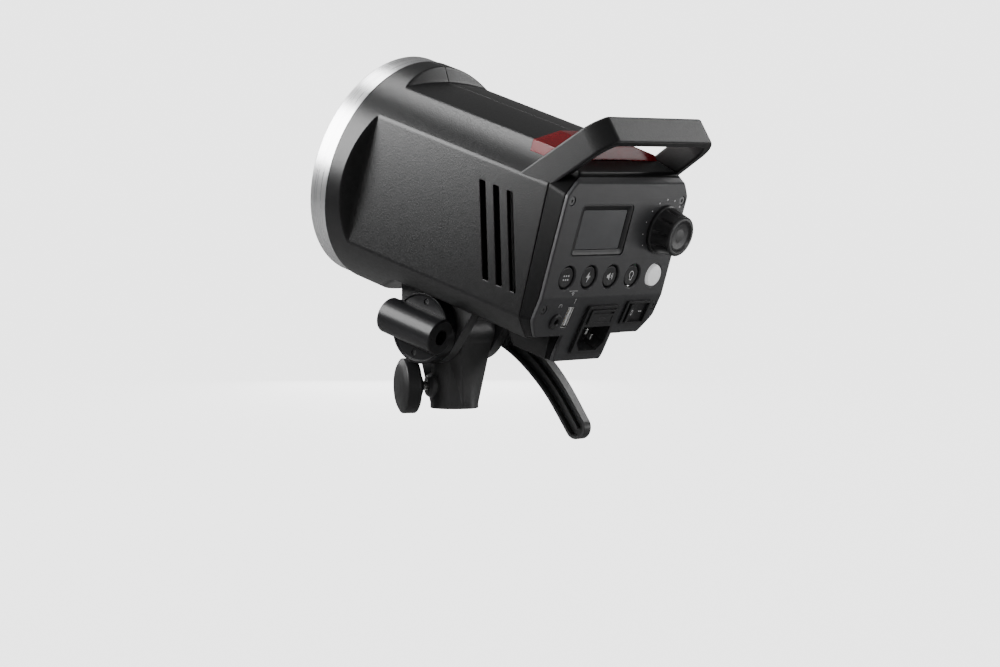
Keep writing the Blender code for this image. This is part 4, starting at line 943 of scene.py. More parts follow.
def build_panel(m):
    panel = panel_blank()
    holes = [panel_rod(f"hole_{i}", x, BUTTON_Z, BUTTON_R + 2 * GAP, -THROUGH, THROUGH)
             for i, x in enumerate(BUTTON_X)]
    holes += [panel_rod(f"chamfer_{i}", x, BUTTON_Z, BUTTON_R + 0.0018, -0.0005, 0.0009,
                        end_radius=BUTTON_R + GAP) for i, x in enumerate(BUTTON_X)]
    holes.append(panel_rod("dial_hole", DIAL_X, DIAL_Z, 0.0040, -THROUGH, THROUGH))
    holes.append(panel_plate("screen_recess", *SCREEN_OUTER, 0.0028, (SCREEN_X, SCREEN_Z),
                             -THROUGH, 0.0011))
    holes.append(panel_plate("screen_hole", SCREEN_W, SCREEN_H, 0.0012, (SCREEN_X, SCREEN_Z),
                             -THROUGH, THROUGH))
    for index, (x, z) in enumerate(PANEL_SCREWS):
        hole = panel_rod(f"screw_hole_{index}", x, z, SCREW_R + GAP, -THROUGH, 0.0016, 32)
        holes.append(slanted(hole) if z < PANEL_BREAK_Z else hole)
    low = [panel_rod("jack_hole", JACK_X, JACK_Z, 0.0037, -THROUGH, THROUGH),
           panel_block("usb_hole", USB_X, USB_Z, 0.0030, 0.0073, -THROUGH, THROUGH)]
    for name, x, z, w, h in (("inlet_hole", INLET_X, INLET_Z, INLET_W, INLET_H),
                             ("rocker_hole", ROCKER_X, ROCKER_Z, ROCKER_W, ROCKER_H)):
        low.append(panel_block(name, x, z, w / 2 - 0.0012, h / 2 - 0.0012, -THROUGH, THROUGH))
    holes += [slanted(hole) for hole in low]
    panel = cut(panel, *holes)
    on_head(panel, m["panel"], "panel", "control_panel", edge=0.00022, sharp=40.0)
    for index, (x, z) in enumerate(PANEL_SCREWS):
        screw = socket_screw(f"screw_{index + 1}", (x, PANEL_Y, z), (0, 1, 0), SCREW_R, 0.0004,
                             0.0013)
        if z < PANEL_BREAK_Z:
            slanted(screw)
        on_head(screw, m["screw"], "screw", f"panel_screw_{index + 1}", edge=0.00012)


def socket_screw(name, centre, axis, radius, low, high):
    """A small round head with a six-sided drive."""
    head = rod(name, centre, axis, radius, low, high, 32)
    drive = rod(name + "_drive", centre, axis, radius * 0.42, low - 0.002, low + 0.0006, 6)
    return cut(head, drive)


# ---- rear controls -----------------------------------------------------------------
def build_screen(m):
    y = PANEL_Y + SCREEN_DEPTH
    window = prism("display_pane", [round_box(SCREEN_W - 2 * GAP, SCREEN_H - 2 * GAP, 0.0012,
                                              (SCREEN_X, SCREEN_Z))], "XZ", y + 0.0001,
                   PANEL_Y + PANEL_T)
    on_head(window, m["screen"], "screen", "display_window", edge=0.0002)
    centre = (SCREEN_X, SCREEN_Z)
    steps = ((0.0, 0.0011, 0.0028), (0.0, 0.0005, 0.0028), (0.0010, 0.0003, 0.0024),
             (0.0030, 0.0008, 0.0018), (0.0041, 0.0010, 0.0012), (0.0041, 0.0020, 0.0012))
    rows = []
    for inset, depth, radius in steps:
        scale = inset / 0.0041
        wide = SCREEN_OUTER[0] * (1 - scale) + SCREEN_W * scale
        high = SCREEN_OUTER[1] * (1 - scale) + SCREEN_H * scale
        grow = GAP if inset == 0.0 else 0.0
        rows.append([(u, PANEL_Y + depth, v)
                     for u, v in round_box(wide - 2 * grow, high - 2 * grow, radius, centre)])
    on_head(skin("screen_frame", rows, wrap=True), m["gloss"], "gloss")


def print_on(name, loops, y, m, body="head", slant=False, material="white"):
    """A thin printed mark on a face that looks back along the light axis."""
    mark = prism(name, loops, "XZ", y - 0.00004, y + 0.00002)
    if slant:
        slanted(mark)
    place_piece(mark, LAMP, body, m[material], "test")
    return mark


def ring_mark(centre, radius, width, start=0, end=360, steps=24):
    """Outline of a round or part-round line."""
    outer = arc(centre, radius + width / 2, start, end, steps)
    inner = arc(centre, radius - width / 2, end, start, steps)
    if abs(end - start) == 360:
        return [outer[:-1], inner[:-1]]
    return [outer + inner]


def bar_mark(start, end, width):
    a, b = Vector(start), Vector(end)
    side = Vector((-(b - a).y, (b - a).x)).normalized() * width / 2
    return [[tuple(a + side), tuple(b + side), tuple(b - side), tuple(a - side)]]


def icon_loops(name, x, z):
    """Plain white icons for the four black buttons."""
    return [[(x + u * ICON_GROWTH, z + v * ICON_GROWTH) for u, v in loop]
            for loop in icon_shape(name)]


def icon_shape(name):
    """Loops of one icon round (0, 0): dots, a flash, a horn or a bulb."""
    line = 0.00038
    if name == "group":
        return [arc((-0.0016 + 0.0016 * column, 0.0008 - 0.0018 * row), 0.00045, 0, 330, 11)
                for row in range(2) for column in range(3)]
    if name == "slave":
        return [[(0.0004, 0.0026), (-0.0015, -0.0003), (-0.0002, -0.0003), (-0.0006, -0.0026),
                 (0.0015, 0.0005), (0.0002, 0.0005)]]
    if name == "beep":
        loops = [[(-0.0022, 0.0007), (-0.0013, 0.0007), (0.0, 0.0018), (0.0, -0.0018),
                  (-0.0013, -0.0007), (-0.0022, -0.0007)]]
        for radius in (0.0010, 0.0019):
            loops += ring_mark((0.0002, 0.0), radius, line, -48, 48, 8)
        return loops
    loops = ring_mark((0.0, 0.0006), 0.0014, line, -62, 242, 20)
    for u in (-0.0007, 0.0007):
        loops += bar_mark((u, -0.0008), (u, -0.0016), line)
    return loops + bar_mark((-0.0008, -0.0020), (0.0008, -0.0020), line)


def build_buttons(m):
    for name, x in zip(BUTTON_NAMES, BUTTON_X):
        # The test button takes the milky plastic with its painted glow.
        lit = name == "test"
        head = -0.0010 if lit else 0.0010
        dish = 0.0004 if lit else -0.0002
        corners = [(0.0, head - dish, 0.0), (BUTTON_R * 0.55, head - dish * 0.6, 0.010),
                   (BUTTON_R - 0.0004, head, 0.0007), (BUTTON_R, head + 0.0014, 0.0010),
                   (BUTTON_R, 0.0050, 0.0), (0.0, 0.0050, 0.0)]
        cap = turned(name + "_cap", corners, (0, 1, 0), (x, PANEL_Y, BUTTON_Z), 64)
        place_piece(cap, LAMP, name + "_key", m["milky" if lit else "button"],
                    "test" if lit else "button", [name + "_button"])
        if not lit:
            print_on(name + "_icon", icon_loops(name, x, BUTTON_Z), PANEL_Y + head - 0.0001, m,
                     name + "_key")


def dial_flutes(angle, radius, height):
    """Ten shallow round grooves along the dial's grip, fading out at both its ends."""
    low, high = 0.0030, DIAL_LENGTH - 0.0016
    if radius < DIAL_NOSE_R - 0.0012 or not low < -height < high:
        return 0.0
    along = min(1.0, (-height - low) / 0.0025, (high + height) / 0.0020)
    phase = (angle * 10 / math.tau + 0.5) % 1.0 - 0.5
    return -0.0009 * math.exp(-(phase / 0.10) ** 2) * along


def build_dial(m):
    nose = -DIAL_LENGTH
    corners = [(DIAL_R - 0.0004, -GAP, 0.0), (DIAL_R, -GAP - 0.0002, 0.0002),
               (DIAL_R, -0.0019, 0.0005), (DIAL_R - 0.0005, -0.0024, 0.0002)]
    grip = [(DIAL_R - 0.0006 - (DIAL_R - DIAL_NOSE_R - 0.0008) * t,
             -0.0026 - (DIAL_LENGTH - 0.0040) * t, 0.0) for t in np.linspace(0, 1, 16)]
    rim = [(DIAL_NOSE_R, nose + 0.0004, 0.0006), (DIAL_NOSE_R - 0.0010, nose, 0.0006),
           (DIAL_NOSE_R - 0.0024, nose, 0.0006), (DIAL_NOSE_R - 0.0040, nose + 0.0011, 0.0030),
           (DIAL_NOSE_R - 0.0080, nose + 0.0014, 0.010), (0.0, nose + 0.0012, 0.0)]
    path = eased(corners + grip + rim, closed=False)
    knob = lathe("dial_grip", path, (0, 1, 0), (DIAL_X, PANEL_Y, DIAL_Z), 240, shape=dial_flutes)
    place_piece(knob, LAMP, "dial", m["dark"], "button", ["dial_knob"], sharp=50.0)
    loops = []
    for index in range(11):
        angle = math.radians(212 - 23.2 * index)
        size = 0.00034 + 0.00004 * index
        centre = (DIAL_X + 0.0186 * math.cos(angle), DIAL_Z + 0.0186 * math.sin(angle))
        if centre[0] < 0.0575:
            loops.append(arc(centre, size, 0, 345, 14))
    print_on("dial_dots", loops, PANEL_Y, m)


def build_ports(m):
    corners = [(0.0019, 0.0080, 0.0), (0.0019, -0.0010, 0.0004), (0.0026, -0.0016, 0.0002),
               (0.0042, -0.0016, 0.0004), (0.0049, -0.0008, 0.0003), (0.0049, -GAP, 0.0),
               (0.0034, -GAP, 0.0), (0.0034, 0.0080, 0.0)]
    jack = turned("jack_collar", corners, (0, 1, 0), (JACK_X, PANEL_Y, JACK_Z), 48)
    on_head(slanted(jack), m["dark"], "dark", "sync_jack")
    usb = panel_block("usb_shell", USB_X, USB_Z, 0.0027, 0.0070, 0.0002, 0.0100)
    usb = cut(usb, panel_block("usb_mouth", USB_X, USB_Z, 0.0023, 0.0066, -0.002, 0.0090))
    on_head(slanted(usb), m["steel"], "metal", "usb_port", edge=0.0001)
    tongue = block("usb_tongue", (USB_X + 0.0003, PANEL_Y + 0.0010, USB_Z - 0.0058),
                   (USB_X + 0.0019, PANEL_Y + 0.0091, USB_Z + 0.0058))
    on_head(slanted(tongue), m["white"], "test", edge=0.0002)
    for index in range(4):
        z = USB_Z - 0.0036 + 0.0024 * index
        pad = block(f"usb_contact_{index}", (USB_X + 0.0001, PANEL_Y + 0.0016, z - 0.0005),
                    (USB_X + 0.0004, PANEL_Y + 0.0080, z + 0.0005))
        on_head(slanted(pad), m["contact"], "metal", edge=0.0001)


def inlet_outline(width, height, chamfer):
    """Mains inlet opening: a rectangle with its two lower corners cut."""
    u, top = width / 2, INLET_Z + 0.0022
    low = top - height
    cx = INLET_X
    return eased([(cx - u, top, 0.0010), (cx - u, low + chamfer, 0.0010),
                  (cx - u + chamfer, low, 0.0010), (cx + u - chamfer, low, 0.0010),
                  (cx + u, low + chamfer, 0.0010), (cx + u, top, 0.0010)])


def build_inlet(m):
    body = panel_part("inlet_frame", INLET_X, INLET_Z, INLET_W, INLET_H, 0.0016, -0.0020,
                      0.0005)
    body = cut(body, prism("inlet_mouth", [inlet_outline(0.0268, 0.0160, 0.0050)], "XZ",
                           PANEL_Y - 0.01, PANEL_Y + 0.0090),
               block("drawer_bay", (INLET_X - 0.0125, PANEL_Y - 0.01, INLET_Z + 0.0040),
                     (INLET_X + 0.0125, PANEL_Y + 0.0090, INLET_Z + 0.0142)))
    on_head(slanted(body), m["dark"], "black", "inlet_body", edge=0.00018)
    for name, x, z in (("earth", 0.0, 0.0), ("line", -0.0070, -0.0040),
                       ("neutral", 0.0070, -0.0040)):
        cx, cz = INLET_X + x, INLET_Z - 0.0040 + z
        blade = panel_block("blade_" + name, cx, cz, 0.0010, 0.0020, 0.0030, 0.0115)
        on_head(slanted(blade), m["steel"], "metal", "inlet_pin_" + name, edge=0.0005)
    low, high = INLET_Z + 0.0043, INLET_Z + 0.0139
    drawer = panel_plate("drawer_front", 0.0244, high - low, 0.0008, (INLET_X, (low + high) / 2),
                         -0.0030, 0.0085)
    drawer = cut(drawer, block("fuse_bay", (INLET_X - 0.0100, PANEL_Y + 0.0005, low + 0.0017),
                               (INLET_X + 0.0100, PANEL_Y + 0.0070, high + 0.01)),
                 panel_plate("drawer_grip", 0.0200, 0.0014, 0.0006, (INLET_X, high - 0.0019),
                             -0.0050, -0.0018),
                 panel_plate("drawer_panel", 0.0196, 0.0048, 0.0008, (INLET_X, low + 0.0036),
                             -0.0050, -0.0027))
    place_piece(slanted(drawer), LAMP, "drawer", m["dark"], "dark", ["fuse_drawer"],
                edge=0.00018)
    z = low + 0.0036
    fuse = bar_mark((INLET_X - 0.0045, z), (INLET_X + 0.0045, z), 0.00025)
    mark = prism("fuse_mark", fuse + ring_frame(INLET_X, z, 0.0056, 0.0020, 0.00025), "XZ",
                 PANEL_Y - 0.00275, PANEL_Y - 0.00268)
    place_piece(slanted(mark), LAMP, "drawer", m["screw"], "screw")


def ring_frame(x, z, width, height, line):
    """Two loops that make a rectangular line."""
    return [round_box(width, height, 0.0003, (x, z), 2),
            round_box(width - 2 * line, height - 2 * line, 0.0002, (x, z), 2)[::-1]]


def build_rocker(m):
    frame = panel_part("switch_frame", ROCKER_X, ROCKER_Z, ROCKER_W, ROCKER_H, 0.0010, -0.0014)
    frame = cut(frame, panel_block("rocker_well", ROCKER_X, ROCKER_Z, 0.0101, 0.0064, -THROUGH,
                                   0.0090))
    on_head(slanted(frame), m["dark"], "black", "rocker_frame", edge=0.00022)
    hinge = Vector((ROCKER_X, PANEL_Y + 0.0030, ROCKER_Z))
    lean = Matrix.Translation(hinge) @ Matrix.Rotation(math.radians(8.0), 4, "Z")
    outline = eased([(-0.0096, -0.0042, 0.0004), (0.0, -0.0026, 0.020), (0.0096, -0.0042, 0.0004),
                     (0.0093, -0.0004, 0.0004), (0.0030, 0.0040, 0.001),
                     (-0.0030, 0.0040, 0.001), (-0.0093, -0.0004, 0.0004)], steps=6)
    rocker = prism("switch_rocker", [outline], "XY", -0.0061, 0.0061)
    rocker.data.transform(lean)
    place_piece(slanted(rocker), LAMP, "switch", m["button"], "dark", ["rocker"], edge=0.0002)
    off = prism("switch_off_mark", ring_mark((-0.0050, 0.0), 0.0016, 0.00045), "XZ", -0.00004,
                0.00004)
    on = prism("switch_on_mark", bar_mark((0.0036, 0.0), (0.0068, 0.0), 0.00050), "XZ", -0.00004,
               0.00004)
    rise = math.atan2(0.0016, 0.0096)
    for mark, turn in ((off, rise), (on, -rise)):
        mark.data.transform(Matrix.Translation((0.0, -0.00272, 0.0))
                            @ Matrix.Rotation(turn, 4, "Z"))
        mark.data.transform(lean)
        place_piece(slanted(mark), LAMP, "switch", m["white"], "test")


# ---- top cover and handle -------------------------------------------------------------
def cover_section(inset):
    """Half-round of facets across the sensor cover, from its right foot to its left."""
    wide, top = COVER_X - GAP - inset, COVER_TOP_Z - inset
    foot = COVER_LOW_Z + GAP
    corners = [(wide, foot - 0.0016 - inset, 0.0), (wide, foot, 0.0008),
               (0.0412 - inset * 0.5, 0.0579 - inset, 0.0012), (0.017, top, 0.004)]
    corners += [(-u, v, r) for u, v, r in reversed(corners)]
    return eased(corners, closed=False, steps=5)


def build_sensor_cover(m):
    wall = 0.0022
    front = COVER_FRONT_Y - GAP
    rear = COVER_REAR_Y

    def row(y, inset, drop=0.0):
        points = []
        for x, z in cover_section(inset):
            back = max(0.0, abs(x) - 0.0400) / 0.0077 * 0.0050
            share = max(0.0, (y - rear) / (front - rear))
            points.append(Vector((x, y - back * share, z - drop - max(0.0, z - 0.0560) / 6)))
        return points
    edge = 0.0006
    rows = [row(rear + wall, wall), row(front - wall, wall), row(front, wall + 0.003, 0.004),
            row(front, 0.0008), row(front - 0.0002, 0.0003), row(front - edge, 0.0)]
    rows += [row(y, 0.0) for y in np.linspace(front - 0.004, rear + 0.004, 6)]
    rows += [row(rear + edge, 0.0), row(rear + 0.0002, 0.0003), row(rear, 0.0008),
             row(rear, wall + 0.003, 0.004), row(rear + wall, wall)]
    cover = skin("sensor_dome", rows)
    on_head(cover, m["red"], "red", "sensor_cover", sharp=45.0)
    floor = block("sensor_floor", (-0.045, rear + 0.003, 0.0490), (0.045, front - 0.004, 0.0505))
    on_head(floor, m["inner"], "dark", edge=0.0003)
    eye = turned("sensor_eye", [(0.0, 0.0090, 0.0), (0.0042, 0.0085, 0.004),
                                (0.0050, 0.0050, 0.001), (0.0050, 0.0, 0.0)], (0, 0, 1),
                 (0.0, -0.149, 0.0503), 40)
    on_head(eye, m["screen"], "dark", "slave_sensor")
    for index, x in enumerate((-0.026, 0.026)):
        pod = block(f"sensor_lamp_{index}", (x - 0.006, -0.154, 0.0503),
                    (x + 0.006, -0.144, 0.0530))
        on_head(pod, m["bowl"], "pan", edge=0.0008)


def build_handle(m):
    """Flat U-shaped strap that leans back over the panel, with rounded edges."""
    lean = Vector((0.0, -0.663, 0.749)).normalized()
    across = Vector((0.0, lean.z, -lean.y))
    base = Vector((0.0, -0.1535, 0.0400))
    thick, reach, foot = 0.0050, 0.0550, -0.0085

    def side(inset):
        top = reach - inset
        knee = 0.0542 - inset
        return eased([(0.0583 - inset, foot, 0.0), (knee, top - 0.0060, 0.020),
                      (0.0462 - inset * 0.55, top, 0.0050 - inset * 0.3), (0.0, top, 0.0)],
                     closed=False, steps=8)
    outer = side(0.0) + [(-u, v) for u, v in reversed(side(0.0)[:-1])]
    inner = side(thick) + [(-u, v) for u, v in reversed(side(thick)[:-1])]
    rows = []
    section = eased([(0.0, -1.0, 0.17), (1.0, -1.0, 0.17), (1.0, 1.0, 0.17), (0.0, 1.0, 0.17)],
                    steps=4)
    for (u, v), (p, q) in zip(outer, inner):
        half = 0.0090 * (1.0 - 0.03 * max(0.0, v) / reach)
        row = []
        for s, w in section:
            flat = Vector((u + (p - u) * s, 0.0, 0.0))
            row.append(base + flat + lean * (v + (q - v) * s) + across * (w * half))
        rows.append(row)
    strap = skin("handle_strap", rows, wrap=True, caps=True)
    strap = cut(strap, block("below_edge", (-0.1, -0.2, 0.0), (0.1, -0.1, TOP_EDGE_X + 0.0002)))
    on_head(strap, m["strap"], "black", "carry_handle", sharp=50.0)


# ---- front end --------------------------------------------------------------------------
def build_front(m):
    ring = turned("accessory_ring", [ (0.0640, -RING_DEPTH, 0.0), (0.0640, 0.0, 0.0004),
                                     (RING_R - 0.0002, 0.0, 0.0009),
                                     (RING_R - 0.0003, -RING_DEPTH, 0.0003)], steps=256, ease=5,
                  closed=True)
    on_head(ring, m["ring"], "ring", "mount_ring")
    plate = turned("front_plate", [ (0.0420, -0.0150, 0.0002), (0.0420, -0.0090, 0.0005),
                                   (0.0637, -0.0090, 0.0003), (0.0637, -0.0129, 0.0002),
                                   (0.0672, -0.0129, 0.0002), (0.0672, -0.0150, 0.0002)],
                   steps=160, closed=True)
    tools = []
    for index in range(3):
        middle = 90.0 + 120.0 * index
        loop = arc((0, 0), 0.0545, middle - 16, middle + 16, 16)
        loop += arc((0, 0), 0.0475, middle + 16, middle - 16, 16)
        tools.append(prism(f"claw_slot_{index}", [loop], "XZ", -0.02, 0.0))
    tools.append(block("latch_slot", (0.0570, -0.02, -0.0030), (0.0625, 0.0, 0.0090)))
    for index in range(3):
        angle = math.radians(30.0 + 120.0 * index)
        centre = (0.0530 * math.cos(angle), -0.0090, 0.0530 * math.sin(angle))
        tools.append(rod(f"plate_sink_{index}", centre, (0, 1, 0), 0.0032, -0.0012, 0.01, 32))
        screw = socket_screw(f"plate_screw_{index}", centre, (0, -1, 0), 0.0029, 0.0003, 0.0012)
        on_head(screw, m["screw"], "screw", edge=0.00012)
    plate = cut(plate, *tools)
    on_head(plate, m["rear"], "black", "lamp_plate", edge=0.0003, sharp=40.0)
    # A near-black sheet just behind the plate's slots: painted shade where the lamp's inside shows
    # through.
    shade = lathe("slot_painted_shade", [(0.0430, -0.0185), (0.0665, -0.0185)], steps=96)
    on_head(shade, m["inner"], "dark")
    latch = block("latch_pin", (0.0573, -0.0145, -0.0026), (0.0622, -0.0060, 0.0030))
    place_piece(latch, LAMP, "latch", m["steel"], "dark", ["latch_slide"], edge=0.0008)
    bowl = turned("reflector_bowl", [ (0.0180, -0.0430, 0.0), (0.0260, -0.0430, 0.006),
                                     (0.0340, -0.0330, 0.020), (0.0395, -0.0155, 0.0010),
                                     (0.0417, -0.0155, 0.0003), (0.0417, -0.0165, 0.0003),
                                     (0.0403, -0.0170, 0.001), (0.0352, -0.0342, 0.020),
                                     (0.0270, -0.0442, 0.004), (0.0180, -0.0442, 0.0)], steps=160,
                  ease=8, closed=True)
    on_head(bowl, m["bowl"], "pan", "reflector_pan", sharp=45.0)
    socket = turned("tube_block", [ (0.0, -0.0385, 0.0), (0.0175, -0.0385, 0.0006),
                                   (0.0175, -0.0446, 0.0004), (0.0300, -0.0446, 0.0006),
                                   (0.0300, -0.0520, 0.0006), (0.0, -0.0520, 0.0)], steps=96)
    on_head(socket, m["ceramic"], "ceramic", "tube_socket")
    build_tube(m)
    dome = turned("modelling_dome", [ (0.0, -0.0262, 0.0), (0.0066, -0.0268, 0.008),
                                     (0.0112, -0.0300, 0.005), (0.0120, -0.0340, 0.003),
                                     (0.0120, -0.0382, 0.0)], steps=96, ease=8)
    on_head(dome, m["frost"], "frosted", "modelling_lamp")


def build_tube(m):
    """Ring-shaped flash tube with metal ends, legs and a trigger wire wound round it."""
    radius, wire, depth = 0.0215, 0.0040, -0.0300
    gap = math.radians(14.0)
    bends = np.linspace(math.pi / 2 + gap, math.pi / 2 + math.tau - gap, 90)
    ring = [Vector((radius * math.cos(a), depth, radius * math.sin(a))) for a in bends]
    legs = [[end + Vector((0.0, -0.0128 * t, 0.0)) for t in (1.0, 0.75, 0.5, 0.3)]
            for end in (ring[0], ring[-1])]
    path = legs[0] + ring + legs[1][::-1]
    tube = tube_along("flash_ring", path, wire, 20)
    on_head(tube, m["glass"], "glass", "flash_tube", sharp=60.0)
    turns = 26
    coil = []
    for index in range(turns * 14 + 1):
        share = index / (turns * 14)
        along = bends[0] + (bends[-1] - bends[0]) * share
        spin = share * turns * math.tau
        reach = radius + (wire + 0.00012) * math.cos(spin)
        coil.append(Vector((reach * math.cos(along), depth + (wire + 0.00012) * math.sin(spin),
                            reach * math.sin(along))))
    winding = tube_along("trigger_wire", coil, 0.00016, 5)
    on_head(winding, m["contact"], "metal", sharp=80.0)
    for index, leg in enumerate(legs):
        cap = turned(f"tube_end_{index}", [ (0.0, -0.0380, 0.0), (0.0046, -0.0380, 0.0004),
                                           (0.0046, -0.0428, 0.0004), (0.0, -0.0428, 0.0)],
                     (0, 1, 0), (leg[0].x, 0.0, leg[0].z), 32)
        on_head(cap, m["steel"], "metal")


def dress_inside(nodes, m):
    """The hidden CAD pieces keep their shapes and take the finished materials."""
    finish = {"heat_sink": "fins", "fan_frame": "inner", "fan_rotor": "dark",
              "capacitor_left": "sleeve", "capacitor_right": "sleeve", "power_board": "board",
              "control_board": "board", "display_module": "dark", "dial_encoder": "dark"}
    for name, key in finish.items():
        slots = nodes[name].data.materials
        for index in range(len(slots)):
            slots[index] = m[key]


# ---- bracket --------------------------------------------------------------------------------
def build_head_bracket(m):
    bottom = arc((0.0, 0.0), EAR_R, 180 + EAR_FLARE, 360 - EAR_FLARE, 40)
    top = RING_FROM_PIVOT.z - BELLY_Z + 0.0015
    right = bottom[-1]
    reach = (top - right[1]) * math.tan(math.radians(EAR_FLARE))
    outline = bottom + [(right[0] + reach, top), (-right[0] - reach, top)]
    bracket = prism("bracket_ears", [outline], "YZ", -EAR_OUT_X, EAR_OUT_X)
    bracket = soften(bracket, 0.0009, 3, 40.0)
    start = 30.0
    slot = arc((0.0, 0.0), BARREL_R + 0.0008, start, 180 - start, 32)
    rise = 0.05 * math.tan(math.radians(start))
    slot = [(0.05, -0.05), (0.05, rise)] + slot + [(-0.05, rise), (-0.05, -0.05)]
    bracket = cut(bracket, prism("bracket_slot", [slot], "YZ", -EAR_IN_X, EAR_IN_X),
                  axle("ear_bore", BOLT_HOLE_R, -0.05, 0.05, 32))
    place_piece(bracket, TILTED, "head", m["cast"], "cast", ["head_bracket"], edge=0.0003,
                sharp=40.0)


def build_umbrella_holder(m):
    inner = -EAR_OUT_X - GAP
    cap = turned("holder_cap", [ (0.0, -inner, 0.0), (EAR_R, -inner, 0.0005),
                                (EAR_R, CAP_X - 0.0006, 0.0008), (EAR_R - 0.0006, CAP_X, 0.0006),
                                (EAR_R - 0.0016, CAP_X, 0.0004), (EAR_R - 0.0022, CAP_X - 0.0006,
            0.0004), (0.0, CAP_X - 0.0006, 0.0)], (-1, 0, 0), steps=128)
    half = TUBE_LENGTH / 2
    centre = (TUBE_X, 0.0, TUBE_RISE)
    tube = turned("holder_tube", [ (0.0, -half, 0.0), (TUBE_R, -half, 0.0012),
                                  (TUBE_R, half, 0.0012), (0.0, half, 0.0)], (0, 1, 0), centre, 96,
                  ease=5)
    saddle = block("holder_saddle", (-0.0360, -half + 0.0035, TUBE_RISE - TUBE_R + 0.0004),
                   (-0.0310, half - 0.0035, TUBE_RISE + TUBE_R - 0.0004))
    cap = join(cap, saddle)
    cap = join(cap, tube)
    cap = cut(cap, rod("umbrella_bore", centre, (0, 1, 0), TUBE_BORE_R, -0.05, 0.05, 64),
              block("cap_trim", (inner, -0.05, -0.05), (0.0, 0.05, 0.05)),
              rod("upper_hole", (0, 0, 0.0166), (1, 0, 0), 0.0019, -0.04, -0.0310, 32),
              rod("lower_hole", (0, 0, -0.0158), (1, 0, 0), 0.0019, -0.04, -0.0310, 32))
    place_piece(cap, TILTED, "head", m["gloss"], "gloss", ["umbrella_holder"], edge=0.0004,
                sharp=40.0)
    for name, z in (("upper", 0.0166), ("lower", -0.0158)):
        screw = rod(name + "_cap_bolt", (0, 0, z), (1, 0, 0), 0.0016, -0.0322, -0.0313, 32)
        screw = cut(screw, rod(name + "_drive", (0, 0, z), (1, 0, 0), 0.0008, -0.0340, -0.0317,
                               6))
        place_piece(screw, TILTED, "head", m["screw"], "screw", ["cap_screw_" + name],
                    edge=0.0001)


def build_bolt(m):
    bolt = axle("tilt_shaft", BOLT_R, -0.0250, 0.0355, 48)
    bolt = join(bolt, axle("bolt_head", 0.0070, -0.0282, -0.0246, 6))
    place_piece(bolt, TILTED, "head", m["steel"], "metal", ["tilt_bolt"], edge=0.0005)
    for side, name in ((-1, "left"), (1, "right")):
        low, high = sorted((side * (BARREL_X + GAP), side * (EAR_IN_X - GAP)))
        washer = axle("washer_" + name, 0.0185, low, high, 96)
        washer = cut(washer, axle("washer_bore", BOLT_HOLE_R, -0.03, 0.03, 32))
        place_piece(washer, TILTED, "head", m["dark"], "dark", ["friction_washer_" + name],
                    edge=0.0001)


def smooth_route(points, steps):
    """Points along a Catmull-Rom curve through the given points."""
    padded = [points[0]] + list(points) + [points[-1]]
    route = []
    for index in range(1, len(padded) - 2):
        before, first, second, after = (Vector(p) for p in padded[index - 1:index + 3])
        for step in range(steps):
            t = step / steps
            route.append(0.5 * (2 * first + (second - before) * t
                                + (2 * before - 5 * first + 4 * second - after) * t * t
                                + (3 * first - before - 3 * second + after) * t ** 3))
    route.append(Vector(points[-1]))
    return route


def lever_outline(half_width, skip=0):
    """Closed outline around the lever's centre line, with a round tip."""
    route = smooth_route(((0.0, 0.0), (-0.0185, -0.0056), (-0.0370, -0.0175),
                          (-0.0563, -0.0363), (-0.0735, -0.0600)), 10)[8 + skip:]
    left, right = [], []
    for index, point in enumerate(route):
        ahead = route[min(index + 1, len(route) - 1)]
        behind = route[max(index - 1, 0)]
        direction = (ahead - behind).normalized()
        normal = Vector((-direction.y, direction.x))
        left.append(tuple(point + normal * half_width))
        right.append(tuple(point - normal * half_width))
    start = math.degrees(math.atan2(normal.y, normal.x))
    tip = arc(tuple(route[-1]), half_width, start, start - 180, 20)
    return left[:-1] + tip + right[-2::-1]


def thinned(obj):
    """The lever gets thinner towards its tip on its outer side."""
    for vertex in obj.data.vertices:
        if vertex.co.x > LEVER_X + 0.005:
            vertex.co.x -= 0.0035 * min(1.0, -vertex.co.y / 0.080)
    return obj


def build_lever(m):
    frame = Matrix.Translation(PIVOT)
    lever = thinned(prism("lock_lever", [lever_outline(LEVER_HALF_W)], "YZ", LEVER_X,
                          LEVER_X + LEVER_T))
    lever = soften(lever, 0.0011, 4, 50.0)
    hub = turned("lever_hub", [ (0.0, LEVER_X, 0.0), (LEVER_HUB_R, LEVER_X, 0.0008),
                               (LEVER_HUB_R, LEVER_X + LEVER_T + 0.0015, 0.0015),
                               (0.0, LEVER_X + LEVER_T + 0.0015, 0.0)], (1, 0, 0), steps=96,
                 ease=5)
    lever = join(lever, hub)
    channel = prism("lever_channel", [lever_outline(LEVER_HALF_W - 0.0018, 5)], "YZ",
                    LEVER_X - 0.01, LEVER_X + 0.0042)
    lever = cut(lever, channel)
    rib = prism("lever_rib", [lever_outline(0.0009, 5)], "YZ", LEVER_X + 0.0010, LEVER_X + 0.0050)
    face = axle("lever_hub_face", LEVER_HUB_R - 0.0004, LEVER_X + 0.0002, LEVER_X + 0.005, 96)
    lever = join(lever, rib, face)
    lever = cut(lever, axle("lever_bore", BOLT_HOLE_R, 0.0, 0.05, 32),
                axle("nut_pocket", 0.0078, LEVER_X + 0.0095, 0.05, 6))
    place_piece(lever, frame, "lever", m["cast"], "black", ["tilt_lever"], edge=0.0005,
                sharp=40.0)


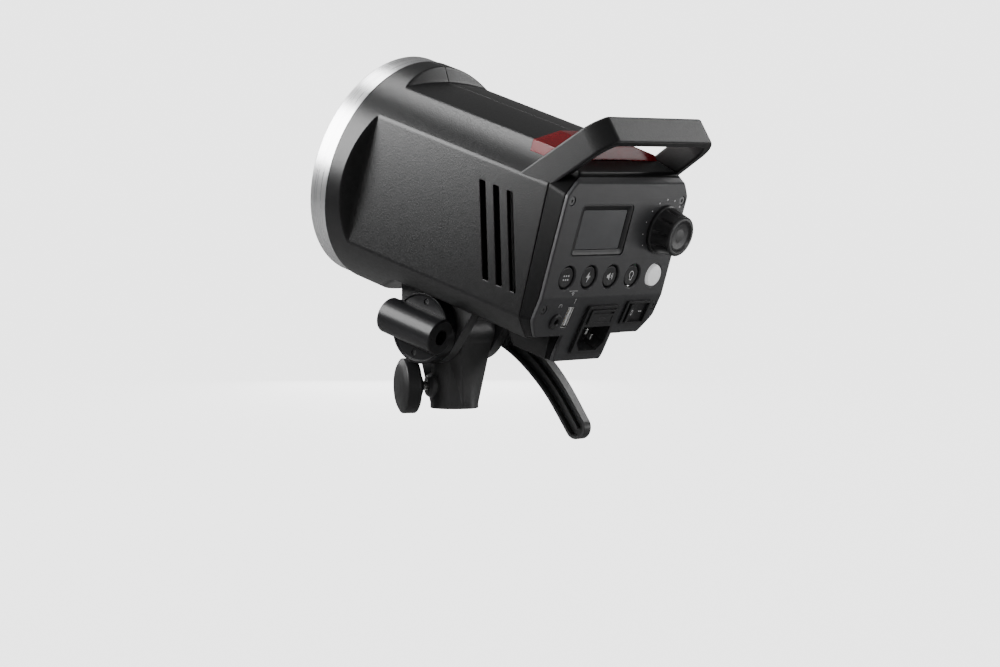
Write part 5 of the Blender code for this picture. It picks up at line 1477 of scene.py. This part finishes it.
def build_casting(m):
    out = (math.cos(CLAMP_TURN), math.sin(CLAMP_TURN), 0.0)
    casting = rod("stand_body", (0, 0, 0), (0, 0, 1), SOCKET_R, 0.0, 0.0312, 96)
    casting = soften(casting, 0.0006, 3, 50.0)
    barrel = soften(rod("casting_barrel", PIVOT, (1, 0, 0), BARREL_R, -BARREL_X, BARREL_X, 96),
                    0.0008, 3, 50.0)
    wide = BARREL_X - 0.0002
    front = [(-0.0076, 0.0006), (0.0076, 0.0006), (wide, 0.0335), (wide, 0.048),
             (-wide, 0.048), (-wide, 0.0335)]
    web = prism("casting_web", [front], "XZ", -0.0300, 0.0300)
    side = [(0.0125, -0.001), (0.0165, 0.0325), (0.0205, 0.049),
            (-0.0205, 0.049), (-0.0165, 0.0325), (-0.0125, -0.001)]
    web = combine(web, "INTERSECT", [prism("casting_side", [side], "YZ", -0.0300, 0.0300)])
    web = soften(web, 0.0012, 3, 50.0)
    boss = turned("clamp_boss", [ (0.0, 0.0, 0.0), (0.0078, 0.0, 0.0), (0.0078, 0.0150, 0.002),
                                 (0.0060, 0.0178, 0.0012), (0.0, 0.0178, 0.0)], out,
                  (0, 0, CLAMP_Z), 64, ease=5)
    casting = join(casting, barrel, web)
    casting = join(casting, boss)
    casting = cut(casting, rod("socket_bore", (0, 0, 0), (0, 0, 1), SOCKET_BORE_R, -0.01,
                               SOCKET_BORE_DEPTH, 64), rod("clamp_hole", (0, 0, CLAMP_Z), out,
                                                           0.0033, 0.0040, 0.0300, 32),
                  rod("casting_bore", PIVOT, (1, 0, 0), BOLT_HOLE_R, -0.03, 0.03, 32))
    place_piece(casting, STAND, "stand", m["cast"], "cast", ["stand_casting"], edge=0.0004,
                sharp=40.0)
    build_clamp(m, out)


def build_clamp(m, out):
    corners = [(0.0, KNOB_OUT, 0.0), (0.0070, KNOB_OUT - 0.0002, 0.02),
               (0.0130, KNOB_OUT - 0.0013, 0.01), (KNOB_R, KNOB_OUT - 0.0036, 0.0010),
               (KNOB_R, KNOB_IN + 0.0012, 0.0016), (KNOB_R - 0.0022, KNOB_IN, 0.0010),
               (0.0085, KNOB_IN - 0.0004, 0.001), (0.0060, KNOB_IN - 0.0030, 0.0006),
               (0.0033, KNOB_IN - 0.0030, 0.0)]
    knob = turned("clamp_knob", corners, out, (0, 0, CLAMP_Z), 128, ease=6)
    place_piece(knob, STAND, "clamp", m["knob"], "knob", ["stand_knob"])
    pitch, turns = 0.0010, 14

    def thread(angle, radius, height):
        phase = (height / pitch - angle / math.tau) % 1.0
        return -0.00035 * abs(phase - 0.5) * 2 if radius > 0.0029 else 0.0
    path = [(0.0020, 0.0086), (0.0030, 0.0093)]
    path += [(0.0030, 0.0093 + pitch * turns * t) for t in np.linspace(0.0, 1.0, turns * 8)]
    path += [(0.0030, KNOB_IN + 0.0010), (0.0020, KNOB_IN + 0.0012)]
    screw = lathe("clamp_thread", path, out, (0, 0, CLAMP_Z), 40, shape=thread)
    place_piece(screw, STAND, "clamp", m["steel"], "metal", ["clamp_screw"], sharp=60.0)


# ---- printed marks on the panel ------------------------------------------------------------
def build_marks(m):
    x, z = BUTTON_X[0] + 0.0095, BUTTON_Z - 0.0100
    loops = bar_mark((x - 0.0040, z + 0.0020), (x + 0.0040, z + 0.0020), 0.00022)
    loops += [arc((x, z - 0.0004), 0.00035, 0, 345, 12)]
    for radius in (0.0009, 0.0016):
        loops += ring_mark((x, z - 0.0006), radius, 0.00024, 40, 140, 8)
    print_on("wireless_mark", loops, PANEL_Y, m)
    x, z = USB_X + 0.0006, USB_Z + 0.0112
    arrow = [(x, z + 0.0016), (x - 0.0006, z + 0.0008), (x + 0.0006, z + 0.0008)]
    port = [arrow] + bar_mark((x, z + 0.0008), (x, z - 0.0016), 0.00024)
    print_on("port_mark", port, PANEL_Y, m, slant=True)
    x, z = JACK_X - 0.0008, JACK_Z + 0.0100
    lock = ring_mark((x, z), 0.0013, 0.00026, -30, 210, 16)
    print_on("jack_mark", lock, PANEL_Y, m, slant=True)


def main():
    set_camera()
    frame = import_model()
    set_studio()
    m = make_materials()
    for build in (build_housing, build_rear_cover, build_panel, build_screen, build_buttons,
                  build_dial, build_ports, build_inlet, build_rocker, build_marks,
                  build_sensor_cover, build_handle, build_front):
        build(m)
    dress_inside(frame["nodes"], m)
    for build in (build_head_bracket, build_umbrella_holder, build_bolt, build_lever,
                  build_casting):
        build(m)


main()
